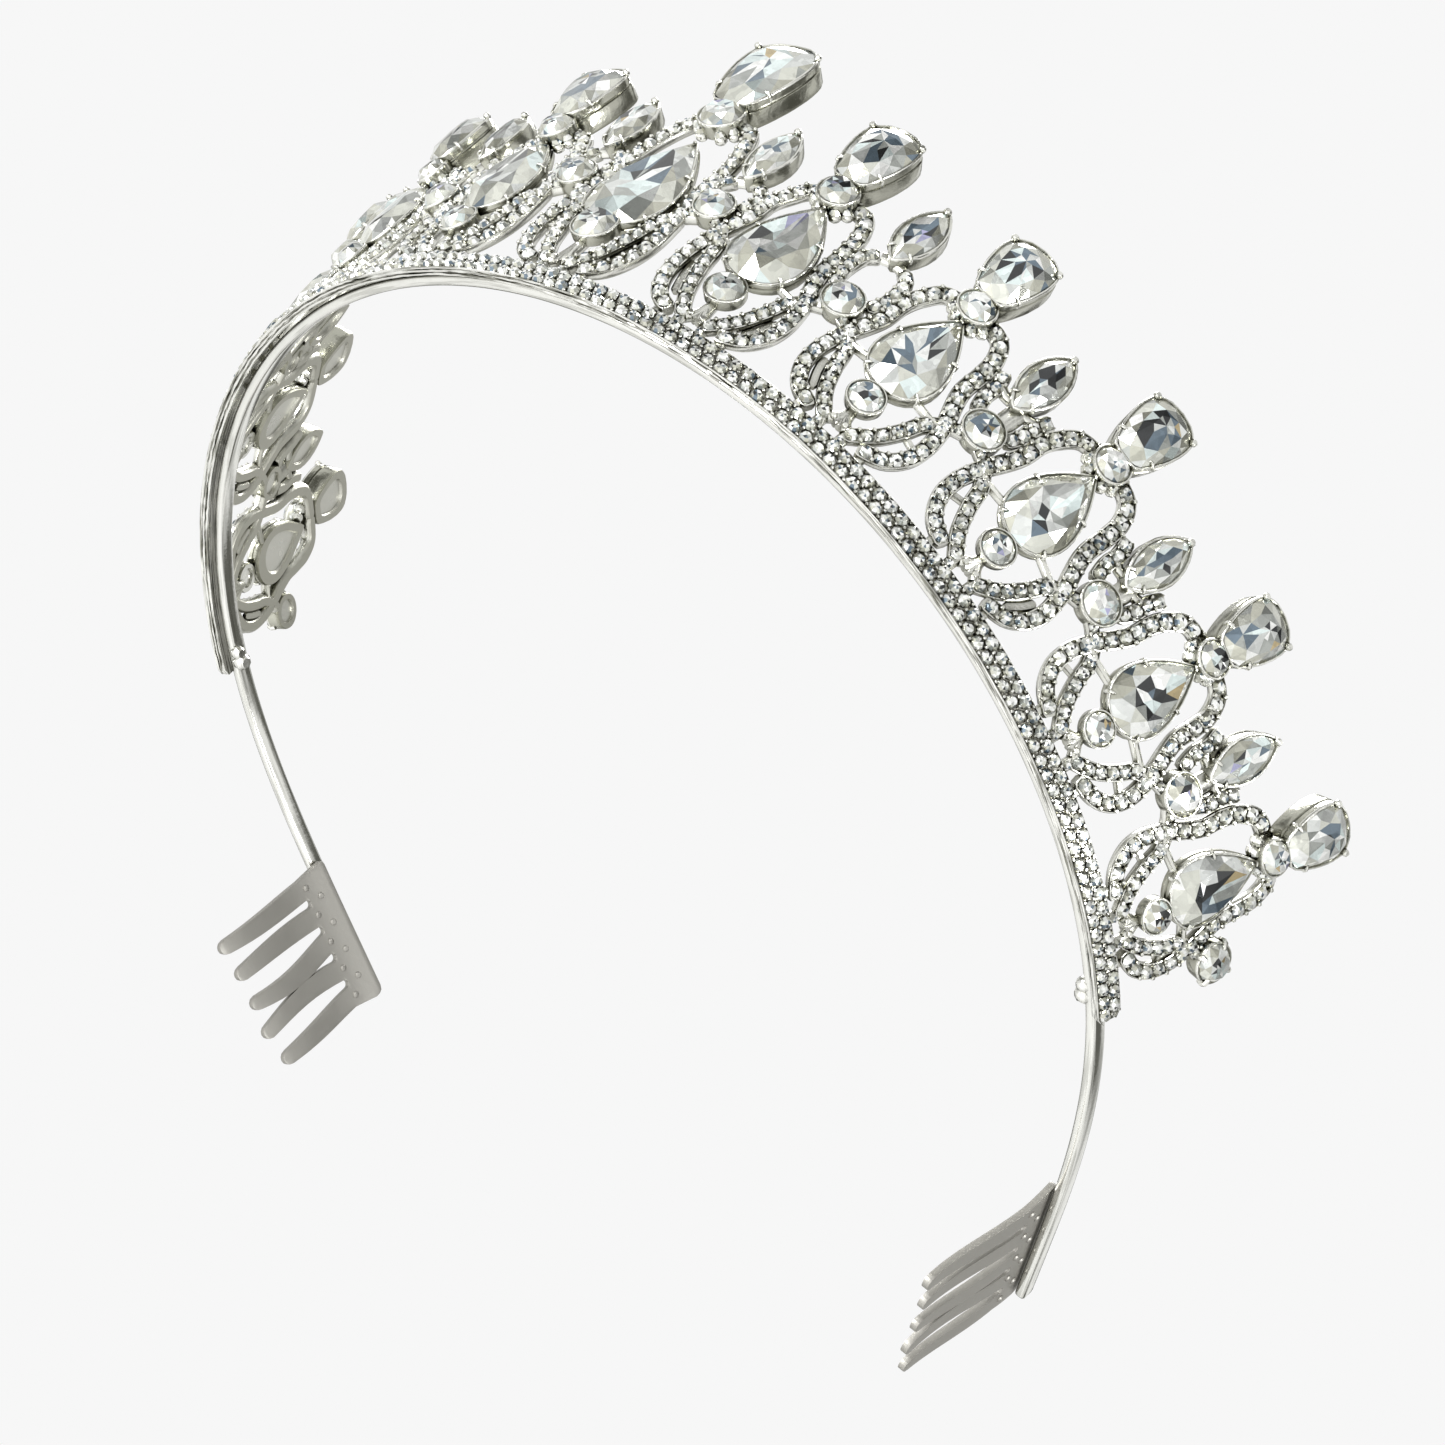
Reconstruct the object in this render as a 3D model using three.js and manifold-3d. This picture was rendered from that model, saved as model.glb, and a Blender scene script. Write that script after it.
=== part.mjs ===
// Bridal tiara: a cast filigree crown wall on a two-row rail, a spring headband and two side combs.
// Millimetres. +Z is up as worn, the front faces -Y, and X = 0 is the plane of symmetry.
// The origin is the centre of the head opening, level with the rail's flat underside.
// "left" and "right" are as seen from the front: right is +X.
import * as THREE from 'three';
import { mergeVertices } from 'three/addons/utils/BufferGeometryUtils.js';
import Module from 'manifold-3d';

const wasm = await Module();
wasm.setup();

// ---- Plan of the headband: arc lengths are measured from the front centre ----
const FRONT_RADIUS = 79;          // at the front centre
const SIDE_RADIUS = 71.5;         // along the sides
const SIDE_START = 85;            // arc length where the side radius is reached
const SIDE_END = 120;             // arc length where the sides begin to straighten
const STRAIGHT_FROM = 165;        // arc length from which the band is straight
const OPENING_CENTRE = 72;        // from the band's front to the origin
const PLAN_STEP = 0.5;

// ---- Lean of the crown wall, outward from vertical ----
const LEAN_FRONT = THREE.MathUtils.degToRad(9);
const LEAN_END = THREE.MathUtils.degToRad(17);

// ---- Base rail: offsets are outward from the plan curve, heights are along the wall ----
const RAIL_END = 120;
const RAIL_BACK = 0.9;
const RAIL_FRONT = 2.2;
const RAIL_HEIGHT = 3.6;
const RAIL_STEPS = 48;

// ---- Headband strip ----
const BAND_END = 174;
const BAND_OUTER = 0.6;
const BAND_THICKNESS = 1.5;
const BAND_LOW = 0.7;
const BAND_HIGH = 3.1;
const BAND_CORNER = 0.35;
const BAND_STEPS = 60;

// ---- Side combs ----
const COMB_START = 151.6;
const COMB_WIDTH = 22.6;
const COMB_TOP = 2.3;
const COMB_THICKNESS = 0.9;
const COMB_CORNER = 0.8;
const COMB_OUTER = -1.2;
const SPINE_LOW = -3.2;
const TOOTH_COUNT = 5;
const TOOTH_LENGTH = 16.6;
const TOOTH_ROOT_WIDTH = 3.2;
const TOOTH_TIP_WIDTH = 2.1;
const TIP_POINT = 1.05;           // where a tooth's rounded tip ends, in tooth lengths
const TOOTH_SLANT = 0.5;          // tips sit this much further back than the roots
const TOOTH_FAN = 0.35;           // extra spread of each tip from its neighbour
const TOOTH_CURL = 2.2;           // tips curl inward by this much

// ---- Motifs: one at the front centre and five on each side ----
const MOTIFS_PER_SIDE = 5;
const MOTIF_PITCH = 21;
const PITCH_GROWTH = 0.0016;
const MOTIF_SCALE = [1, 0.83, 0.76, 0.73, 0.69, 0.7];
const SCALE_CENTRE = 2;           // height that the scaling leaves in place
const NECK_RISE = 35.4;           // heights above it at scale 1
const TOP_PEAR_RISE = 44;
const MAIN_PEAR_RISE = 23.2;
const LOW_ROUND_RISE = 10.7;
const CENTRE_DROP = 2.5;           // the centre's main pear hangs this much lower

// ---- Seats between the motifs, from the front centre outward; the last is the end stone ----
const SEAT_HEIGHT = [22, 18.7, 18.1, 17, 16.7, 17];
const MARQUISE_TIP = [38.1, 37.4, 33.1, 31, 30.9];
const END_SEAT_STATION = 118.6;

// ---- Stones, at scale 1 where they scale with their motif ----
const MAIN_PEAR = { length: 19, width: 11.3, depth: 0.5, crown: 1.6 };
const TOP_PEAR = { length: 13.8, width: 9.2, depth: 0.5, crown: 1.4 };
const NECK_RADIUS = 2.8;
const LOW_RADIUS = 2.8;
const BETWEEN_ROUND = { radius: 2.5, depth: 0.5, crown: 1.3 };
const MARQUISE = { length: 10, width: 4.5, depth: 0.4, crown: 1.1 };
const RIM = 0.3;                  // metal around a stone
const STONE_GAP = 0.3;            // between a seat and the stone on it
const BASE_SIZE = 0.75;           // the stone's foot and its table, against its girdle
const TABLE_SIZE = 0.6;

// ---- Casting: outward offsets of its back and of its faces ----
const CAST_BACK = 0.3;
const CAST_FACE = 1.9;
const PEAR_SEAT = 1.3;            // face under a main pear
const TALL_SEAT = 3.2;            // face of the top pear's box setting
const NECK_SEAT = 4;
const CUT_TOP = 8;                // above every face
const STRAND = 1.9;               // width of a pave strand
const WEB = 1.3;                  // width of a plain web
const FRAME_GAP = 0.3;
const LEAF_DROP = 3;              // leaf tops lie this far below the seat beside them
const BRIDGE_REACH = 3.6;         // from a seat sideways to its own motif's leaf
const ARM_FOOT = 1.8;             // the arms start this far beside and above a seat
const ARM_RISE = 5;
const ARM_SPREAD_OWN = 2.2;
const ARM_SPREAD_OTHER = 0.5;

const silver = (roughness) => new THREE.MeshStandardMaterial({
  color: 0xd9dadb, roughness, metalness: 1, flatShading: true,
});
const crystal = (color) => new THREE.MeshStandardMaterial({
  color, roughness: 0.08, metalness: 0.1, flatShading: true,
});

// ---- The plan curve, integrated once along one half ----
function curvature(s) {
  if (s < SIDE_START) return THREE.MathUtils.lerp(1 / FRONT_RADIUS, 1 / SIDE_RADIUS, s / SIDE_START);
  if (s < SIDE_END) return 1 / SIDE_RADIUS;
  const fade = (STRAIGHT_FROM - s) / (STRAIGHT_FROM - SIDE_END);
  return Math.max(fade, 0) / SIDE_RADIUS;
}

const planTable = [{ x: 0, y: 0, turn: 0 }];
for (let s = 0; s < BAND_END + 20; s += PLAN_STEP) {
  const last = planTable[planTable.length - 1];
  const turn = last.turn + curvature(s + PLAN_STEP / 2) * PLAN_STEP;
  const mid = (last.turn + turn) / 2;
  planTable.push({
    x: last.x + Math.cos(mid) * PLAN_STEP,
    y: last.y + Math.sin(mid) * PLAN_STEP,
    turn,
  });
}

function plan(s) {
  const side = Math.sign(s) || 1;
  const place = Math.abs(s) / PLAN_STEP;
  const i = Math.floor(place);
  const part = place - i;
  const a = planTable[i];
  const b = planTable[i + 1];
  const turn = side * THREE.MathUtils.lerp(a.turn, b.turn, part);
  return {
    x: side * THREE.MathUtils.lerp(a.x, b.x, part),
    y: THREE.MathUtils.lerp(a.y, b.y, part) - OPENING_CENTRE,
    outX: Math.sin(turn),
    outY: -Math.cos(turn),
  };
}

// A point at arc length s, moved outward and up from the plan curve.
function offPlan(s, outward, up) {
  const at = plan(s);
  return new THREE.Vector3(at.x + at.outX * outward, at.y + at.outY * outward, up);
}

// A point of the leaning wall: h runs up the wall and o stands off it.
function onWall(s, h, o) {
  const lean = THREE.MathUtils.lerp(LEAN_FRONT, LEAN_END, Math.min(Math.abs(s) / RAIL_END, 1));
  const outward = h * Math.sin(lean) + o * Math.cos(lean);
  const up = h * Math.cos(lean) - o * Math.sin(lean);
  return offPlan(s, outward, up);
}

// ---- Helpers for flat shapes that are bent round the plan curve afterwards ----
function bend(geometry, place) {
  const position = geometry.attributes.position;
  for (let i = 0; i < position.count; i += 1) {
    const point = place(position.getX(i), position.getY(i), position.getZ(i));
    position.setXYZ(i, point.x, point.y, point.z);
  }
  position.needsUpdate = true;
  geometry.computeVertexNormals();
  return geometry;
}

function slab(outline, back, face) {
  const geometry = new THREE.ExtrudeGeometry(new THREE.Shape(outline), {
    depth: face - back, bevelEnabled: false,
  });
  geometry.translate(0, 0, back);
  return geometry;
}

// A strand of constant width along a smooth curve through the points.
function ribbon(points, width, steps) {
  const curve = new THREE.SplineCurve(points);
  const left = [];
  const right = [];
  for (let i = 0; i <= steps; i += 1) {
    const point = curve.getPoint(i / steps);
    const along = curve.getTangent(i / steps);
    const across = new THREE.Vector2(-along.y, along.x).multiplyScalar(width / 2);
    left.push(point.clone().add(across));
    right.unshift(point.clone().sub(across));
  }
  return slab([...right.reverse(), ...left.reverse()], CAST_BACK, CAST_FACE);
}

function pearOutline(length, width, count) {
  const widest = 0.7698;          // greatest value of sin(t) * sin(t / 2)
  return Array.from({ length: count }, (_, i) => {
    const t = (2 * Math.PI * (i + 0.5)) / count;
    const x = (width / 2 / widest) * Math.sin(t) * Math.sin(t / 2);
    return new THREE.Vector2(-x, (length / 2) * Math.cos(t));
  });
}

function shieldOutline(length, width) {
  const half = [[0.26, -0.5], [0.37, -0.32], [0.46, -0.1], [0.5, 0.12], [0.47, 0.32], [0.35, 0.44], [0.14, 0.5]];
  const right = half.map(([x, y]) => new THREE.Vector2(x * width, y * length));
  const left = half.map(([x, y]) => new THREE.Vector2(-x * width, y * length));
  return [...right, ...left.reverse()];
}

function roundOutline(radius, count) {
  return Array.from({ length: count }, (_, i) => {
    const t = (2 * Math.PI * (i + 0.5)) / count;
    return new THREE.Vector2(radius * Math.cos(t), radius * Math.sin(t));
  });
}

function marquiseOutline(length, width, count) {
  return Array.from({ length: count }, (_, i) => {
    const t = (2 * Math.PI * i) / count;
    const bulge = Math.sign(Math.cos(t)) * Math.cos(t) ** 2;
    return new THREE.Vector2((width / 2) * bulge, (length / 2) * Math.sin(t));
  });
}

const shift = (outline, x, y) => outline.map((point) => new THREE.Vector2(point.x + x, point.y + y));
const inOrder = (outline) => (THREE.ShapeUtils.isClockWise(outline) ? outline.slice().reverse() : outline);

// ---- Joining flat pieces into one casting ----
function toManifold(geometry) {
  const bare = geometry.clone();
  bare.deleteAttribute('normal');
  bare.deleteAttribute('uv');
  const merged = mergeVertices(bare, 1e-4);
  return new wasm.Manifold(new wasm.Mesh({
    numProp: 3,
    vertProperties: new Float32Array(merged.attributes.position.array),
    triVerts: new Uint32Array(merged.index.array),
  }));
}

function join(pieces, cuts) {
  const joined = pieces.map(toManifold).reduce((sum, piece) => sum.add(piece));
  const whole = cuts.map(toManifold).reduce((rest, cut) => rest.subtract(cut), joined);
  const mesh = whole.getMesh();
  const geometry = new THREE.BufferGeometry();
  geometry.setAttribute('position', new THREE.BufferAttribute(new Float32Array(mesh.vertProperties), 3));
  geometry.setIndex(new THREE.BufferAttribute(new Uint32Array(mesh.triVerts), 1));
  return geometry;
}

// ---- Cut stone: a base ring, a girdle and a flat table over one outline ----
function stone(outline, seatFace, { depth, crown }) {
  const rings = [
    { size: BASE_SIZE, o: seatFace + STONE_GAP },
    { size: 1, o: seatFace + STONE_GAP + depth },
    { size: TABLE_SIZE, o: seatFace + STONE_GAP + depth + crown },
  ];
  const ringPoints = inOrder(outline);
  const count = ringPoints.length;
  const centre = ringPoints.reduce((sum, point) => sum.add(point), new THREE.Vector2());
  centre.divideScalar(count);
  const vertices = [];
  rings.forEach(({ size, o }) => {
    ringPoints.forEach((point) => {
      const scaled = centre.clone().lerp(point, size);
      vertices.push(scaled.x, scaled.y, o);
    });
  });
  vertices.push(centre.x, centre.y, rings[0].o);
  vertices.push(centre.x, centre.y, rings[2].o);
  const base = rings.length * count;
  const triangles = [];
  for (let i = 0; i < count; i += 1) {
    const j = (i + 1) % count;
    triangles.push(base, j, i);
    triangles.push(base + 1, 2 * count + i, 2 * count + j);
    for (let ring = 0; ring < rings.length - 1; ring += 1) {
      const low = ring * count;
      const high = low + count;
      triangles.push(low + i, low + j, high + j);
      triangles.push(low + i, high + j, high + i);
    }
  }
  const geometry = new THREE.BufferGeometry();
  geometry.setAttribute('position', new THREE.Float32BufferAttribute(vertices, 3));
  geometry.setIndex(triangles);
  return geometry;
}

// ---- Where the motifs and the seats stand ----
const station = (k) => MOTIF_PITCH * (k + PITCH_GROWTH * k ** 3);
const scaleOf = (k) => MOTIF_SCALE[Math.abs(k)];
const heightAt = (rise, k) => SCALE_CENTRE + rise * scaleOf(k);
const mainPearHeight = (k) => heightAt(MAIN_PEAR_RISE, k) - (k === 0 ? CENTRE_DROP : 0);
const seatIndex = (k) => Math.abs(k) - 0.5;

function seatStation(k) {
  const isEnd = Math.abs(k) > MOTIFS_PER_SIDE;
  return isEnd ? Math.sign(k) * END_SEAT_STATION : station(k);
}

// ---- One side of a motif's filigree: the loop round the pear, the leaf below and their web ----
function filigreeSide(k, side) {
  const seat = k + side / 2;
  const halfPitch = Math.abs(seatStation(seat) - station(k));
  const scale = scaleOf(k);
  const seatHeight = SEAT_HEIGHT[seatIndex(seat)];
  const neck = heightAt(NECK_RISE, k);
  const shoulder = 0.54 + 0.22 * (scale - 0.73);
  const leafTop = seatHeight - LEAF_DROP;
  const leafFoot = RAIL_HEIGHT + FRAME_GAP + STRAND / 2;
  const at = (x, h) => new THREE.Vector2(side * x * halfPitch, h);
  const leaf = (x, v) => at(x, leafFoot + v * (leafTop - leafFoot));
  const loop = [
    at(0, neck + 0.4),
    at(0.34, neck - 0.1),
    at(0.49, neck - 2.4),
    at(shoulder, (neck + seatHeight) / 2),
    at(shoulder + 0.02, seatHeight + 1.6),
    at(0.72, leafTop),
  ];
  const outerLeaf = [
    leaf(0.72, 1), leaf(0.78, 0.66), leaf(0.75, 0.36), leaf(0.6, 0.12), leaf(0.34, 0),
  ];
  const innerLeaf = [
    leaf(0.7, 1), leaf(0.57, 0.82), leaf(0.5, 0.58), leaf(0.36, 0.26), leaf(0.14, 0),
  ];
  const pearFlank = 0.22 * MAIN_PEAR.width * scale;
  const pearFoot = mainPearHeight(k) - 0.32 * MAIN_PEAR.length * scale;
  const web = [
    new THREE.Vector2(side * pearFlank, pearFoot),
    at(0.6, leafTop - 0.6),
    at(0.7, leafTop),
  ];
  const stem = [
    new THREE.Vector2(0, heightAt(LOW_ROUND_RISE, k) - 2),
    at(0.14, leafFoot + 0.2),
  ];
  return [
    ribbon(loop, STRAND, 8),
    ribbon(outerLeaf, STRAND, 5),
    ribbon(innerLeaf, STRAND, 5),
    ribbon(web, WEB, 2),
    ribbon(stem, WEB, 1),
  ];
}

// ---- The seat between two motifs, with its marquise seat and two short arms ----
function betweenSeat(k, x, ownSide) {
  const height = SEAT_HEIGHT[seatIndex(k)];
  const bridge = [
    new THREE.Vector2(x, height - 1),
    new THREE.Vector2(x + ownSide * BRIDGE_REACH, height - LEAF_DROP),
  ];
  const pieces = [
    slab(shift(roundOutline(BETWEEN_ROUND.radius, 10), x, height), CAST_BACK, CAST_FACE),
    ribbon(bridge, STRAND, 1),
  ];
  const tip = MARQUISE_TIP[seatIndex(k)];
  if (tip === undefined) return pieces;
  const lens = marquiseOutline(MARQUISE.length + 2 * RIM, MARQUISE.width + 2 * RIM, 8);
  const post = [new THREE.Vector2(x, height), new THREE.Vector2(x, tip - MARQUISE.length + 1)];
  const armPoint = (side, spread, part) => new THREE.Vector2(
    x + side * (ARM_FOOT + spread * part),
    height + ARM_FOOT + ARM_RISE * part,
  );
  const arm = (side, spread) => ribbon([0, 0.5, 1].map((part) => armPoint(side, spread, part)), WEB, 2);
  pieces.push(slab(shift(inOrder(lens), x, tip - MARQUISE.length / 2), CAST_BACK, CAST_FACE));
  pieces.push(ribbon(post, WEB, 1));
  pieces.push(arm(ownSide, ARM_SPREAD_OWN));
  pieces.push(arm(-ownSide, ARM_SPREAD_OTHER));
  return pieces;
}

// ---- A motif's casting, with the seat on its inner side, and the end seat on the last one ----
function motifFrame(k) {
  const scale = scaleOf(k);
  const pear = pearOutline(MAIN_PEAR.length * scale + 2 * RIM, MAIN_PEAR.width * scale + 2 * RIM, 10);
  const top = shieldOutline(TOP_PEAR.length * scale + 2 * RIM, TOP_PEAR.width * scale + 2 * RIM);
  const neck = roundOutline(NECK_RADIUS * scale + RIM, 8);
  const low = roundOutline(LOW_RADIUS * scale + RIM, 8);
  const pearPlace = shift(inOrder(pear), 0, mainPearHeight(k));
  const topPlace = shift(inOrder(top), 0, heightAt(TOP_PEAR_RISE, k));
  const cuts = [slab(pearPlace, PEAR_SEAT, CUT_TOP), slab(topPlace, TALL_SEAT, CUT_TOP)];
  const pieces = [
    slab(pearPlace, CAST_BACK, PEAR_SEAT),
    slab(topPlace, CAST_BACK, TALL_SEAT),
    slab(shift(neck, 0, heightAt(NECK_RISE, k)), CAST_BACK, NECK_SEAT),
    slab(shift(low, 0, heightAt(LOW_ROUND_RISE, k)), CAST_BACK, CAST_FACE + STONE_GAP),
    ...filigreeSide(k, 1),
    ...filigreeSide(k, -1),
  ];
  const outward = Math.sign(k);
  if (k !== 0) {
    const inner = k - outward / 2;
    pieces.push(...betweenSeat(inner, seatStation(inner) - station(k), outward));
  }
  if (Math.abs(k) === MOTIFS_PER_SIDE) {
    const end = k + outward / 2;
    pieces.push(...betweenSeat(end, seatStation(end) - station(k), -outward));
  }
  return bend(join(pieces, cuts), (x, h, o) => onWall(station(k) + x, h, o));
}

// ---- Sweeps along the plan curve ----
function sweep(section, end, steps, place) {
  const geometry = new THREE.ExtrudeGeometry(new THREE.Shape(section), {
    depth: 2 * end, steps, bevelEnabled: false,
  });
  return bend(geometry, (o, h, length) => place(end - length, h, o));
}

function baseRail() {
  const foot = (o) => new THREE.Vector2(o, o * Math.tan(LEAN_FRONT));
  const section = [
    foot(RAIL_BACK),
    foot(RAIL_FRONT),
    new THREE.Vector2(RAIL_FRONT, RAIL_HEIGHT),
    new THREE.Vector2(RAIL_BACK, RAIL_HEIGHT),
  ];
  const flatten = (s, h, o) => {
    const point = onWall(s, h, o);
    if (h < RAIL_HEIGHT / 2) point.z = 0;
    return point;
  };
  return sweep(section, RAIL_END, RAIL_STEPS, flatten);
}

function headband() {
  const inner = BAND_OUTER - BAND_THICKNESS;
  const corner = BAND_CORNER;
  const section = [
    [inner + corner, BAND_LOW], [BAND_OUTER - corner, BAND_LOW], [BAND_OUTER, BAND_LOW + corner],
    [BAND_OUTER, BAND_HIGH - corner], [BAND_OUTER - corner, BAND_HIGH], [inner + corner, BAND_HIGH],
    [inner, BAND_HIGH - corner], [inner, BAND_LOW + corner],
  ].map(([o, h]) => new THREE.Vector2(o, h));
  return sweep(section, BAND_END, BAND_STEPS, (s, h, o) => offPlan(s, o, h));
}

// ---- Side comb: a spine and five teeth, drawn flat and curled inward ----
function comb(side) {
  const pitch = COMB_WIDTH / TOOTH_COUNT;
  const middle = (TOOTH_COUNT - 1) / 2;
  const edgeSteps = 4;
  const outline = [new THREE.Vector2(0, COMB_TOP)];
  for (let tooth = 0; tooth < TOOTH_COUNT; tooth += 1) {
    const root = (tooth + 0.5) * pitch;
    const edge = (across, v) => {
      const width = THREE.MathUtils.lerp(TOOTH_ROOT_WIDTH, TOOTH_TIP_WIDTH, v ** 2);
      const drift = (TOOTH_SLANT + TOOTH_FAN * (tooth - middle)) * v ** 1.5;
      return new THREE.Vector2(root + drift + (across * width) / 2, SPINE_LOW - v * TOOTH_LENGTH);
    };
    for (let i = 0; i <= edgeSteps; i += 1) outline.push(edge(-1, i / edgeSteps));
    outline.push(edge(0, TIP_POINT));
    for (let i = edgeSteps; i >= 0; i -= 1) outline.push(edge(1, i / edgeSteps));
  }
  outline.push(new THREE.Vector2(COMB_WIDTH, COMB_TOP - COMB_CORNER));
  outline.push(new THREE.Vector2(COMB_WIDTH - COMB_CORNER, COMB_TOP));
  const drawn = outline.map((point) => new THREE.Vector2(side * (COMB_START + point.x), point.y));
  const plate = slab(inOrder(drawn), COMB_OUTER - COMB_THICKNESS, COMB_OUTER);
  return bend(plate, (s, h, o) => {
    const down = Math.max(SPINE_LOW - h, 0) / TOOTH_LENGTH;
    return offPlan(s, o - TOOTH_CURL * Math.sin((down * Math.PI) / 2) ** 2, h);
  });
}

// ---- Stones on their seats ----
function stoneAt(s, height, outline, seatFace, cut) {
  const flat = stone(shift(outline, 0, height), seatFace, cut);
  return bend(flat, (x, h, o) => onWall(s + x, h, o));
}

function mainPear(k) {
  const outline = pearOutline(MAIN_PEAR.length * scaleOf(k), MAIN_PEAR.width * scaleOf(k), 12);
  return stoneAt(station(k), mainPearHeight(k), outline, PEAR_SEAT, MAIN_PEAR);
}

function topPear(k) {
  const outline = shieldOutline(TOP_PEAR.length * scaleOf(k), TOP_PEAR.width * scaleOf(k));
  return stoneAt(station(k), heightAt(TOP_PEAR_RISE, k), outline, TALL_SEAT, TOP_PEAR);
}

function betweenRound(k) {
  const height = SEAT_HEIGHT[seatIndex(k)];
  const outline = roundOutline(BETWEEN_ROUND.radius, 10);
  return stoneAt(seatStation(k), height, outline, CAST_FACE, BETWEEN_ROUND);
}

function marquise(k) {
  const height = MARQUISE_TIP[seatIndex(k)] - MARQUISE.length / 2;
  const outline = marquiseOutline(MARQUISE.length, MARQUISE.width, 8);
  return stoneAt(seatStation(k), height, outline, CAST_FACE, MARQUISE);
}

// ---- Assembly ----
const group = new THREE.Group();

function add(name, geometry, material) {
  const mesh = new THREE.Mesh(geometry, material);
  mesh.name = name;
  group.add(mesh);
}

function placeName(k) {
  if (k === 0) return 'centre';
  return `${k < 0 ? 'left' : 'right'}_${Math.ceil(Math.abs(k))}`;
}

add('headband', headband(), silver(0.12));
add('base_rail', baseRail(), silver(0.2));
add('comb_left', comb(-1), silver(0.3));
add('comb_right', comb(1), silver(0.3));

for (let k = -MOTIFS_PER_SIDE; k <= MOTIFS_PER_SIDE; k += 1) {
  add(`frame_${placeName(k)}`, motifFrame(k), silver(0.22));
  add(`main_pear_${placeName(k)}`, mainPear(k), crystal(0xdfe6e6));
  add(`top_pear_${placeName(k)}`, topPear(k), crystal(0xe3e8ea));
}

for (let k = -MOTIFS_PER_SIDE - 0.5; k <= MOTIFS_PER_SIDE + 0.5; k += 1) {
  add(`between_round_${placeName(k)}`, betweenRound(k), crystal(0xe6ebeb));
  if (Math.abs(k) < MOTIFS_PER_SIDE) add(`marquise_${placeName(k)}`, marquise(k), crystal(0xdde4e3));
}

export default group;
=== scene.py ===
"""The looks of a bridal tiara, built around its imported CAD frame.

Lengths here are millimetres, unless a name ends in _m, and METRE turns them into the frame's metres.
A point of the crown wall is (s, h, o): s runs round the headband from the front centre, h runs up the
leaning wall and o stands off it. on_wall() and upright() put such points into the frame. Places and
sizes of the stones are read back from the frame's own nodes.
"""
import math
import random

import bmesh
import bpy
import numpy as np
from mathutils import Matrix, Vector


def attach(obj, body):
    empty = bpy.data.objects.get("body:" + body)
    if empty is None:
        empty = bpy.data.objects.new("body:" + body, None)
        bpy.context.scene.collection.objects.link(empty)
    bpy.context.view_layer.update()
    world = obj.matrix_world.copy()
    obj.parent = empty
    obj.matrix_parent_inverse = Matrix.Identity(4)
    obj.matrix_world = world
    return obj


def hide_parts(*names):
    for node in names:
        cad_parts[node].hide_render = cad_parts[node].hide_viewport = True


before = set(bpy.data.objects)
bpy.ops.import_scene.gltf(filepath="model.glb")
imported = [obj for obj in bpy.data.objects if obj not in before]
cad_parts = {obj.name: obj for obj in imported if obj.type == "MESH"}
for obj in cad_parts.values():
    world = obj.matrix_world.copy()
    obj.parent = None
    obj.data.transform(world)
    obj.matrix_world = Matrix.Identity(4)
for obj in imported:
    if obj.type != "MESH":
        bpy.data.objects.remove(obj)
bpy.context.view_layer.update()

BODY = "root"
METRE = 0.001                     # metres in a millimetre

# ---- Plan of the headband and lean of the wall, as the CAD part has them ----
FRONT_RADIUS = 79
SIDE_RADIUS = 71.5
SIDE_START = 85
SIDE_END = 120
STRAIGHT_FROM = 165
OPENING_CENTRE = 72
PLAN_STEP = 0.5
PLAN_END = 194
LEAN_FRONT = math.radians(9)
LEAN_END = math.radians(17)
RAIL_END = 120

# ---- Castings ----
CAST_BACK = 0.3
CAST_FACE = 1.75
STRAND = 2.1
WEB = 1.15
RIM = 0.26
LEAF_DROP = 3
FRAME_GAP = 0.3
PAVE_RADIUS = 0.84
PAVE_PITCH = 1.8
PAVE_CROWN = 0.52
LOOP_SIZE = (2.2, 0.9)            # width of a strand and radius of its stones
OUTER_SIZE = (2.1, 0.88)
INNER_SIZE = (2.0, 0.8)
ARM_SIZE = (1.9, 0.78)
BRIDGE_SIZE = (1.6, 0.66)
BEAD_RADIUS = 0.3
SHADED_WALL_TONE = (0.58, 0.58, 0.53)    # painted shade: a cup's side wall is darker than its rim
TOP_TRIM = 0.94                   # the side motifs' top pears, against their CAD boxes with the rim
TALL_GAP = 5.5                    # above this the arms close round a hole under the marquise
CLAW_TAPER = (1, 1, 0.95, 0.8, 0.45)

# ---- Girdles above the stones' CAD feet, or off the wall, and crowns above girdles ----
MAIN_GIRDLE = 0.5
TOP_GIRDLE = 0.45
MARQUISE_GIRDLE = 0.4
SEAT_GIRDLE = 0.2
SEAT_CROWN = 1.35
NECK_OFF = 3.25
NECK_CROWN = 1.2
LOW_OFF = 2.4
LOW_CROWN = 1.25

# ---- Rail, band and combs ----
RAIL_BACK = 0.9
RAIL_FRONT = 2.2
RAIL_HEIGHT = 3.6
RAIL_STATIONS = 241
RAIL_ROUNDING = 1.4               # the rail's ends taper over this length
RAIL_STONES = 129                 # in each row
LOW_ROW = 1.06
HIGH_ROW = 2.68
BAND_END = 174
BAND_OUTER = 0.6
BAND_THICKNESS = 1.5
BAND_LOW = 0.7
BAND_HIGH = 3.1
COMB_START = 151.6
COMB_WIDTH = 22.6
COMB_TOP = 2.3
COMB_THICKNESS = 0.9
COMB_OUTER = -1.2
SPINE_LOW = -3.2
TOOTH_COUNT = 5
TOOTH_LENGTH = 16.6
TOOTH_ROOT_WIDTH = 3.2
TOOTH_TIP_WIDTH = 2.1
TOOTH_SWAY = (0.2, -0.3, 0.9, -0.8, 0.35)
TOOTH_REACH = (1.03, 0.99, 0.98, 1.0, 0.93)
TOOTH_SLANT = 0.5
TOOTH_FAN = 0.35
TOOTH_CURL = 2.2
CURL_START = 3                    # above the spine's foot
COMB_GRID = 0.4
DIMPLE = 0.55

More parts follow.
